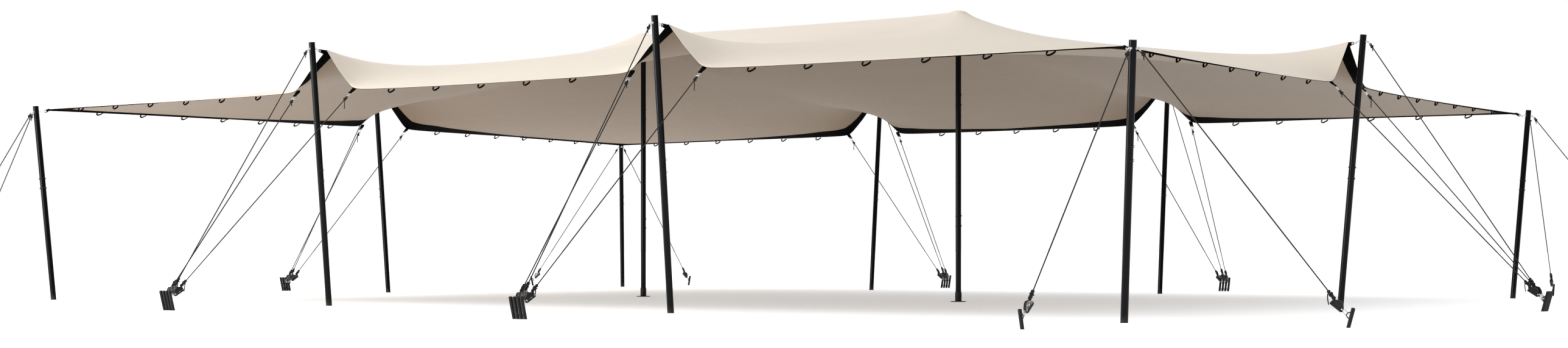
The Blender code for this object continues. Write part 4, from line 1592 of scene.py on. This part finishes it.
@dataclass
class Hardware:
    """Shackles, links and webbing tabs between the fabric, the poles and the guys."""

    plan: TentPlan
    palette: Palette
    rod: float = 0.0036
    bow_half: float = 0.013
    bow_swell: float = 0.003
    link_half: float = 0.010
    fold_half: float = 0.011
    pole_gap: float = 0.021
    peak_drop: float = 0.006
    corner_rise: float = 0.006
    lug_inside: float = 0.012
    tab_width: float = 0.05
    tab_thick: float = 0.006
    metal_reach: float = 0.044
    gable_root: float = 0.066
    corner_root: float = 0.026
    eyelet_hole: float = 0.0075
    eyelet_rim: float = 0.0035
    eyelet_border: float = 0.018
    lug_thick: float = 0.009
    foot_tab: float = 0.038
    tab_sewn: float = 0.062
    pin_out: float = 0.044
    bow_in: float = 0.02

    def shackle(self, work: Workpiece, start: Vector, end: Vector, slot: int) -> None:
        """Bow shackle whose pin is at the start and whose bow reaches the end.

        Args:
            work: piece that takes it.
            start: middle of the pin.
            end: top of the bow.
            slot: number of the material.
        """
        out = unit(end - start)
        side, _ = across(out)
        length = (end - start).length
        half = self.bow_half
        wide = half + self.bow_swell
        shoulder = start + out * (length * 0.35)
        bow = [start + side * half, shoulder + side * wide]
        bow += arc(start + out * (length - wide), side * wide, out * wide, 20, 160, 9)
        bow += [shoulder - side * wide, start - side * half]
        work.tube(bow, self.rod, 8, slot)
        pin = [start + side * (half + 0.010), start - side * (half + 0.008)]
        work.tube(pin, self.rod * 1.15, 8, slot)
        for way in (-1, 1):
            eye = start + side * (way * half)
            work.turned([(0, -0.004), (0.009, -0.004), (0.009, 0.004), (0, 0.004)], eye, side, 12, slot)

    def link(self, work: Workpiece, start: Vector, end: Vector, flat: Vector, slot: int) -> None:
        """Oval chain link from start to end, lying in the plane of a second direction.

        Args:
            work: piece that takes it.
            start: one end.
            end: other end.
            flat: direction that the link's plane holds.
            slot: number of the material.
        """
        out = unit(end - start)
        along, over = out * self.link_half, square_to(flat, out) * self.link_half
        path = arc(end - along, along, over, 80, -80, 7) + arc(start + along, along, over, -100, -260, 7)
        work.tube(path, self.rod * 0.9, 8, slot, closed=True)

    def tab(self, work: Workpiece, root: Vector, end: Vector, wide: Vector, slot: int) -> None:
        """Padded webbing folded round a shackle: out from the fabric, round, and back.

        Args:
            work: piece that takes it.
            root: where it leaves the fabric.
            end: end of its fold.
            wide: direction of its width.
            slot: number of the material.
        """
        out = unit(end - root)
        wide = square_to(wide, out)
        lift = unit(out.cross(wide))
        swell = self.fold_half
        path = [root + lift * 0.004, root + out * 0.03 + lift * 0.008]
        path += arc(end - out * swell, lift * swell, out * swell, 75, -75, 7)
        path += [root + out * 0.03 - lift * 0.008, root - lift * 0.004]
        work.ribbon(path, wide, self.tab_width, self.tab_thick, slot)

    def _lug(self, name: str, pole: tuple[Vector, Vector], inward: Vector, root: Vector, tall: float) -> None:
        """Upright webbing lug with an eyelet, and the shackle and link that hold it to a pole.

        Args:
            name: the piece's name.
            pole: foot and top of the pole.
            inward: level direction from the pole to the lug.
            root: where the lug leaves the fabric, at its upper rim.
            tall: height of the lug at its root.
        """
        work = Workpiece(name, self.palette.webbing, self.palette.bright)
        anchor = self.plan.beside(*pole, inward, self.pole_gap)
        out = unit(anchor - root)
        side = unit(out.cross(UP))
        up = side.cross(out)
        border = self.eyelet_border
        eye = (anchor - root).length - self.metal_reach - border
        inside, end = -self.lug_inside, eye - border * 0.55
        outline = [(inside, -tall * 0.8), (0.0, -tall), (end, -2 * border), (end, 0.0), (0.0, -0.002),
                   (inside, -0.016)]
        work.plate(outline, framed(root, out, up), self.lug_thick, 0, 0.0015)
        centre = root + out * eye - up * border
        hole, rim, half = self.eyelet_hole, self.eyelet_rim, self.lug_thick / 2
        collar = (hole + 0.0005, border, half, 24, 0)
        eyelet = (hole, hole + rim, half + 0.001, 20, 1)
        for inner, outer, deep, sides, slot in (collar, eyelet):
            profile = [(inner, -deep), (outer, -deep), (outer, deep), (inner, deep)]
            work.turned(profile, centre, side, sides, slot)
        self.shackle(work, centre + out * 0.036, centre - out * 0.004, 1)
        start = centre + out * 0.028
        self.link(work, start, anchor + unit(anchor - start) * 0.004, side, 1)
        settle(work.make(50.0), "webbing")

    def _feet(self, side: Side) -> None:
        """Webbing tabs at the two feet of a gable."""
        for way, word in ((-1, "first"), (1, "second")):
            work = Workpiece(f"foot_tab_{side.label}_{word}", self.palette.webbing, self.palette.bright)
            root, direction = self.foot_pull(side, way)
            end = root + direction * self.foot_tab
            self.tab(work, root - direction * self.tab_sewn, end, side.run, 0)
            self.shackle(work, end + direction * self.pin_out, end - direction * self.bow_in, 1)
            settle(work.make(50.0), "webbing")

    def foot_pull(self, side: Side, way: int) -> tuple[Vector, Vector]:
        """Where a gable foot's tab starts and the direction of its guy."""
        root = self.plan.gable_foot(side, way) - UP * 0.02
        stake = self.plan.side_stakes(side)[1 + way]
        hook = self.plan.ring_point(stake, side.outward, self.plan.side_stake_height)
        return root, unit(hook - root)

    def build(self) -> None:
        """Make the fittings of every gable and corner."""
        plan = self.plan
        for side in Side:
            root = plan.gable_peak(side) - UP * self.peak_drop
            name = f"gable_fittings_{side.label}"
            self._lug(name, plan.side_pole(side), -side.outward, root, self.gable_root)
            self._feet(side)
        for corner in Corner:
            sx, sy = corner.signs
            root = plan.fabric_corner(corner) + UP * self.corner_rise
            name = f"corner_fittings_{corner.label}"
            self._lug(name, plan.corner_pole(corner), Vector((-sx, -sy, 0)), root, self.corner_root)


# Stakes and guys


@dataclass
class Stakes:
    """Round steel stakes driven in at a slant, each with a ring for its guy."""

    plan: TentPlan
    palette: Palette
    chamfer: float = 0.003
    crown: float = 0.001
    bar_height: float = 0.035
    bar_radius: float = 0.006

    def _stake(self, work: Workpiece, ground: Vector, outward: Vector, height: float, ring: bool) -> None:
        """One stake, cut level at the ground.

        Args:
            work: piece that takes it.
            ground: where it enters the ground.
            outward: level direction of its lean.
            height: height of its top.
            ring: whether it carries a ring.
        """
        plan = self.plan
        top = plan.stake_top(ground, outward, height)
        axis = unit(top - ground)
        length = (top - ground).length
        r, c = plan.stake_radius, self.chamfer
        profile = [(0, 0), (r, 0), (r, length - c * 2), (r - c * 0.3, length - c), (r - c, length),
                   (0, length + self.crown)]
        start = len(work.points)
        work.turned(profile, ground, axis)
        work.level_foot(start, ground, axis, self.crown)
        if not ring:
            return
        seat, axis, inward = plan.ring_seat(ground, outward, height)
        path = arc(seat, axis * plan.ring_half_height, inward * plan.ring_reach, 0, 180, 13)
        work.tube(path, plan.ring_tube, 10)
        for end in (path[0], path[-1]):
            work.tube([end - inward * 0.004, end + inward * 0.006], plan.ring_tube * 1.5, 10)

    def build(self) -> None:
        """Make the groups beyond the side poles and the single stakes of the corners."""
        plan = self.plan
        for side in Side:
            name = f"side_stakes_{side.label}"
            work = Workpiece(f"{name}_detail", self.palette.forged)
            row = plan.side_stakes(side)
            for k, ground in enumerate(row):
                self._stake(work, ground, side.outward, plan.side_stake_height, k < 3)
            lift = side.outward * (plan.stake_lean * self.bar_height) + UP * self.bar_height
            work.tube([row[0] + lift, row[-1] + lift], self.bar_radius)
            settle(work.make(), "steel", name)
        for corner in Corner:
            for way, ground, outward in plan.corner_stakes(corner):
                name = f"corner_stake_{corner.label}_{way}"
                work = Workpiece(f"{name}_detail", self.palette.forged)
                self._stake(work, ground, outward, plan.corner_stake_height, True)
                settle(work.make(), "steel", name)


@dataclass
class Guys:
    """Ropes from the fabric and the poles to the stakes, with their ratchets and knots."""

    plan: TentPlan
    palette: Palette
    hardware: Hardware
    rope_radius: float = 0.0058
    hook_length: float = 0.045
    hook_half: float = 0.013
    hook_wire: float = 0.0042
    ratchet_length: float = 0.115
    ratchet_thick: float = 0.03
    ratchet_tilt: float = 13.6
    ratchet_hole: float = 0.008
    cheek_place: float = 0.42
    bolt_height: float = 0.0045
    cheek_outline: tuple = ((0.0, -0.001), (0.123, -0.001), (0.123, 0.020), (0.110, 0.035), (0.088, 0.047),
                            (0.077, 0.054), (0.064, 0.057), (0.051, 0.055), (0.039, 0.049), (0.017, 0.031),
                            (0.005, 0.016))
    sole_outline: tuple = ((0.004, -0.017), (0.010, -0.019), (0.120, -0.019), (0.125, -0.014), (0.125, 0.001),
                           (0.0, 0.001), (0.0, -0.012))
    cheek_bolts: tuple = ((0.012, 0.008, 0.0048), (0.040, 0.036, 0.0048), (0.066, 0.024, 0.0068),
                          (0.084, 0.038, 0.0048), (0.112, 0.026, 0.0052), (0.104, 0.008, 0.0042))
    seam_outline: tuple = ((0.004, -0.003), (0.121, -0.003), (0.121, 0.003), (0.004, 0.003))
    seam_bolts: tuple = ((0.012, 0.0, 0.0046), (0.066, 0.0, 0.0040), (0.116, 0.0, 0.0046))
    tail_length: float = 0.11
    short_tail: float = 0.045
    shackle_reach: float = 0.055

    def _ratchet(self, work: Workpiece, start: Vector, out: Vector, turned: bool) -> None:
        """Ratchet: a grey cheek with bright bolts and a black one round a black housing.

        Args:
            work: piece with bright, grey and black materials in that order.
            start: where its narrow end meets the hook.
            out: direction of the guy.
            turned: whether the grey cheek is on the left, seen from the stake, and a bolted
                seam shows on the right.
        """
        _, up = across(out)
        up = up if up.z > 0 else -up
        tilt = math.radians(self.ratchet_tilt)
        base = out * math.cos(tilt) - up * math.sin(tilt)
        lift = up * math.cos(tilt) + out * math.sin(tilt)
        side = base.cross(lift)
        place = framed(start - lift * self.ratchet_hole, base, lift)
        thick = self.ratchet_thick
        cheek = thick * self.cheek_place
        housing = [(a * 0.97 + 0.002, b * 0.93) for a, b in self.cheek_outline]
        work.plate(housing, place, thick * 0.72, 2, 0.003)
        grey = -1 if turned else 1
        for way in (-1, 1):
            self._at_side(work, self.cheek_outline, place, side * (way * cheek), 1 if way == grey else 2)
            for k, (a, b, radius) in enumerate(self.cheek_bolts):
                spot = place @ Vector((a, b, way * (cheek + 0.0014)))
                work.bolt(spot, side * way, radius, self.bolt_height, 0 if way == grey or k == 0 else 2)
        if turned:
            self._at_side(work, self.seam_outline, place, side * (cheek + 0.0025), 1)
            for a, b, radius in self.seam_bolts:
                work.bolt(place @ Vector((a, b, cheek + 0.0038)), side, radius, 0.004, 0)
        work.plate(self.sole_outline, place, thick * 1.15, 2, 0.002)

    def _at_side(self, work: Workpiece, outline: tuple, place: Matrix, move: Vector, slot: int) -> None:
        """Add a plate moved off the middle plane."""
        moved = place.copy()
        moved.translation = place.translation + move
        work.plate(outline, moved, 0.003, slot, 0.0012)

    def _hook(self, work: Workpiece, ring: Vector, end: Vector) -> None:
        """Steel snap hook between the stake's ring and the ratchet.

        Args:
            work: piece that takes it.
            ring: inside of the stake's ring.
            end: where the ratchet starts.
        """
        out = unit(end - ring)
        _, up = across(out)
        half = self.hook_half
        along, over, inset = out * half, up * half, out * 0.004
        first, last = ring + out * 0.002, end - along * 0.6
        path = arc(last, along, over, 85, -85, 8) + arc(first, along, over, -95, -265, 8)
        work.tube(path, self.hook_wire, closed=True)
        gate = [first + over * 1.05 + inset, last + over * 1.05 - inset]
        work.tube(gate, self.hook_wire + 0.0016)

    def _knot(self, work: Workpiece, centre: Vector, out: Vector, size: float, turn: float) -> None:
        """Overhand knot pulled tight round the rope's line.

        Args:
            work: the rope's piece.
            centre: middle of the knot.
            out: direction of the rope.
            size: half the radius of the knot's middle line.
            turn: angle by which it is turned.
        """
        side, up = across(out)
        path = []
        for k in range(36):
            t = 2 * math.pi * k / 36
            ring = (2 + math.cos(3 * t)) * size
            a, b = ring * math.cos(2 * t + turn), ring * math.sin(2 * t + turn)
            path.append(centre + side * a + up * b + out * (math.sin(3 * t) * size * 1.6))
        work.tube(path, self.rope_radius, closed=True)

    def _wraps(self, work: Workpiece, start: Vector, out: Vector, turns: float) -> Vector:
        """Turns of rope wound tightly round itself.

        Args:
            work: the rope's piece.
            start: where the turns begin.
            out: direction of the rope.
            turns: how many turns.

        Returns:
            Where the turns end.
        """
        side, up = across(out)
        reach = self.rope_radius * 2.05
        pitch = self.rope_radius * 2.15
        count = int(turns * 12)
        path = []
        for k in range(count + 1):
            t = 2 * math.pi * k / 12
            wobble = reach * (1 + 0.12 * math.sin(2.3 * t))
            turned = side * (wobble * math.cos(t)) + up * (wobble * math.sin(t))
            path.append(start + out * (pitch * k / 12) + turned)
        work.tube(path, self.rope_radius)
        return start + out * (pitch * turns)

    def _tail(self, work: Workpiece, start: Vector, away: Vector, length: float) -> None:
        """Loose end that hangs from a knot.

        Args:
            work: the rope's piece.
            start: where it leaves the knot.
            away: level direction in which it leaves.
            length: how far it hangs down.
        """
        path = []
        for k in range(9):
            t = k / 8
            out = away * (0.022 * math.sin(min(t * 3, math.pi / 2)))
            curl = away.cross(UP) * (0.006 * math.sin(4 * t))
            path.append(start + out - UP * (length * t ** 1.15) + curl)
        radii = [self.rope_radius * (0.9 if k < 8 else 0.6) for k in range(9)]
        work.tube(path, radii)

    def _rope(self, work: Workpiece, start: Vector, end: Vector) -> None:
        """Taut run of rope."""
        count = 24
        path = [start + (end - start) * (k / count) for k in range(count + 1)]
        work.tube(path, self.rope_radius)

    def _guy(self, rope: Workpiece, gear: Workpiece, ring: Vector, upper: Vector, turn: float,
             tail: float, turned: bool = False) -> None:
        """One guy from the ring of its stake to its upper shackle.

        Args:
            rope: piece that takes the rope and knots.
            gear: piece that takes the hook and ratchet.
            ring: inside of the stake's ring.
            upper: bow of the upper shackle.
            turn: angle that makes this guy's knots differ from the others'.
            tail: length of the hanging end at its upper knot.
            turned: whether its ratchet is turned round.
        """
        out = unit(upper - ring)
        side, up = across(out)
        hook_end = ring + out * self.hook_length
        self._hook(gear, ring, hook_end)
        self._ratchet(gear, hook_end, out, turned)
        top = hook_end + out * self.ratchet_length
        self._rope(rope, top - out * 0.02, upper - out * 0.012)
        self._knot(rope, top + out * 0.014, out, 0.0046, turn)
        end = self._wraps(rope, top + out * 0.024, out, 1.5)
        self._knot(rope, end + out * 0.012, out, 0.0062, turn + 1.3)
        away = side * (1 if math.sin(turn * 7) > 0 else -1)
        self._tail(rope, end + out * 0.038, away, self.tail_length)
        self._knot(rope, end + out * 0.040, out, 0.0042, turn + 2.1)
        eye = arc(upper - out * 0.012, out * 0.014, up * 0.010, 0, 340, 14)
        rope.tube(eye, self.rope_radius * 0.9, closed=True)
        self._knot(rope, upper - out * 0.040, out, 0.0052, turn)
        away = side * (0.3 if math.sin(turn * 5) > 0 else -0.3)
        self._tail(rope, upper - out * 0.046, away, tail)

    def build(self) -> None:
        """Make the guys of every side pole and corner."""
        plan = self.plan
        for side in Side:
            name = f"side_guys_{side.label}"
            rope = Workpiece(f"{name}_rope", self.palette.rope)
            gear = self._gear(f"ratchets_{side.label}")
            foot, top = plan.side_pole(side)
            uppers = []
            for way in (-1, 0, 1):
                if way:
                    root, direction = self.hardware.foot_pull(side, way)
                    uppers.append(root + direction * (self.hardware.foot_tab + self.shackle_reach))
                else:
                    uppers.append(self._pole_shackle(gear, foot, top, side.outward))
            for k, (stake, upper) in enumerate(zip(plan.side_stakes(side), uppers)):
                ring = plan.ring_point(stake, side.outward, plan.side_stake_height)
                tail = self.tail_length if k == 2 else self.short_tail
                self._guy(rope, gear, ring, upper, 0.9 * k + len(side.label), tail, k == 2)
            settle(rope.make(50.0), "rope", name)
            settle(gear.make(), "steel")
        for corner in Corner:
            foot, top = plan.corner_pole(corner)
            for k, (way, ground, outward) in enumerate(plan.corner_stakes(corner)):
                name = f"corner_guy_{corner.label}_{way}"
                rope = Workpiece(f"{name}_rope", self.palette.rope)
                gear = self._gear(f"corner_ratchet_{corner.label}_{way}")
                upper = self._pole_shackle(gear, foot, top, outward)
                ring = plan.ring_point(ground, outward, plan.corner_stake_height)
                self._guy(rope, gear, ring, upper, 1.7 * k + len(corner.label), self.short_tail)
                settle(rope.make(50.0), "rope", name)
                settle(gear.make(), "steel")

    def _gear(self, name: str) -> Workpiece:
        """Empty piece for the metal parts of guys."""
        return Workpiece(name, self.palette.bright, self.palette.cheek, self.palette.forged)

    def _pole_shackle(self, gear: Workpiece, foot: Vector, top: Vector, outward: Vector) -> Vector:
        """Shackle on the outer side of a pole, hanging towards its guy.

        Args:
            gear: piece that takes the shackle.
            foot: foot of the pole.
            top: top of the pole.
            outward: side of the pole.

        Returns:
            The bow of the shackle, where the rope's eye sits.
        """
        start = self.plan.beside(foot, top, outward, 0.018)
        out = unit(outward * 0.75 - UP * 0.66)
        end = start + out * 0.042
        self.hardware.shackle(gear, start, end, 0)
        return end - out * 0.004


# Stage


@dataclass(frozen=True)
class Softbox:
    """A soft rectangular light."""

    name: str
    place: Triple
    aim: Triple
    size: tuple[float, float]
    watts: float
    tint: Colour = (1.0, 0.975, 0.945)

    def hang(self) -> None:
        """Make the light and turn it to what it lights."""
        data = bpy.data.lights.new(self.name, "AREA")
        data.shape = "RECTANGLE"
        data.size, data.size_y = self.size
        data.energy = self.watts
        data.color = self.tint
        light = bpy.data.objects.new(self.name, data)
        light.location = self.place
        way = Vector(self.aim) - Vector(self.place)
        light.rotation_euler = way.to_track_quat("-Z", "Y").to_euler()
        bpy.context.scene.collection.objects.link(light)


@dataclass
class Studio:
    """Pale floor, soft light and the camera of the photograph."""

    lens_pixels: float = 3562.6
    image_width: float = 2576.0
    image_height: float = 571.0
    horizon: float = 407.7
    centre_column: float = 1287.8
    place: Triple = (16.169, -23.283, 0.66)
    azimuth: float = 35.0165
    sensor: float = 36.0
    far_clip: float = 500.0
    floor_radius: float = 400.0
    floor_thick: float = 0.01
    floor_drop: float = 0.0006
    bright: float = 1.0
    dim: float = 0.14
    lobe_share: float = 0.85
    top_reach: tuple[float, float] = (0.05, 0.6)
    lobes: tuple[tuple[float, float, float, float], ...] = ((120.0, 0.1, 0.5, 0.25), (35.0, 0.3, 0.8, 1.0))
    softboxes: tuple[Softbox, ...] = (
        Softbox("left_softbox", (-22.0, -15.0, 17.0), (-4.0, -2.0, 2.5), (10.0, 10.0), 3850.0),
        Softbox("front_softbox", (-7.8, -18.5, 2.6), (-0.4, -5.3, 2.4), (10.0, 4.0), 1080.0,
                (1.0, 0.98, 0.95)),
    )

    def camera(self) -> None:
        """Make the camera, level, with the horizon where the photograph has it."""
        data = bpy.data.cameras.new("photo_camera")
        data.sensor_width = self.sensor
        data.lens = self.lens_pixels / self.image_width * self.sensor
        data.shift_x = (self.image_width / 2 - self.centre_column) / self.image_width
        data.shift_y = (self.horizon - self.image_height / 2) / self.image_width
        data.clip_end = self.far_clip
        camera = bpy.data.objects.new("photo_camera", data)
        camera.location = self.place
        camera.rotation_euler = (math.pi / 2, 0, math.radians(self.azimuth))
        bpy.context.scene.collection.objects.link(camera)
        bpy.context.scene.camera = camera

    def floor(self) -> None:
        """Round pale floor that fades into the backdrop."""
        work = Workpiece("studio_floor", StudioFloor("studio_floor_paint").material())
        r, low = self.floor_radius, -self.floor_thick
        work.turned([(0, 0), (r, 0), (r, low), (0, low)], UP * -self.floor_drop, UP, 96)
        work.make()

    def backdrop(self) -> None:
        """White backdrop that lights the tent from above and, lower down, from two sides."""
        world = bpy.data.worlds.new("studio_backdrop")
        world.use_nodes = True
        bench = ShaderBench(world)
        facing = bench.node("ShaderNodeTexCoord", {}, {}, "Generated")
        _, _, height = bench.parts(facing)
        lights = [height.ramp(*self.top_reach)]
        for heading, low, high, ceiling in self.lobes:
            angle = math.radians(heading)
            lobe = bench.along(facing, (-math.sin(angle), math.cos(angle), 0.0)).ramp(low, high)
            lights.append(lobe * height.ramp(ceiling * 0.5, ceiling, self.lobe_share, 0.0))
        brightest = lights[0].highest(lights[1]).highest(lights[2])
        fill = brightest * (self.bright - self.dim) + self.dim
        seen = bench.node("ShaderNodeLightPath", {}, {}, "Is Camera Ray")
        inputs = bench.tree.nodes["Background"].inputs
        bench.feed(inputs["Strength"], seen + (1 - seen) * fill)
        bench.feed(inputs["Color"], (1.0, 1.0, 1.0))
        bpy.context.scene.world = world
        bpy.context.scene.view_settings.view_transform = "Standard"

    def build(self) -> None:
        """Set the stage."""
        self.floor()
        self.backdrop()
        for softbox in self.softboxes:
            softbox.hang()
        self.camera()


def main() -> None:
    """Build the tent piece by piece."""
    logging.basicConfig(level=logging.INFO, format="%(name)s: %(message)s")
    plan = TentPlan()
    palette = Palette()
    Canopy(plan, palette).build()
    Poles(plan, palette).build()
    hardware = Hardware(plan, palette)
    hardware.build()
    Stakes(plan, palette).build()
    Guys(plan, palette, hardware).build()
    Studio().build()


if __name__ == "__main__":
    main()
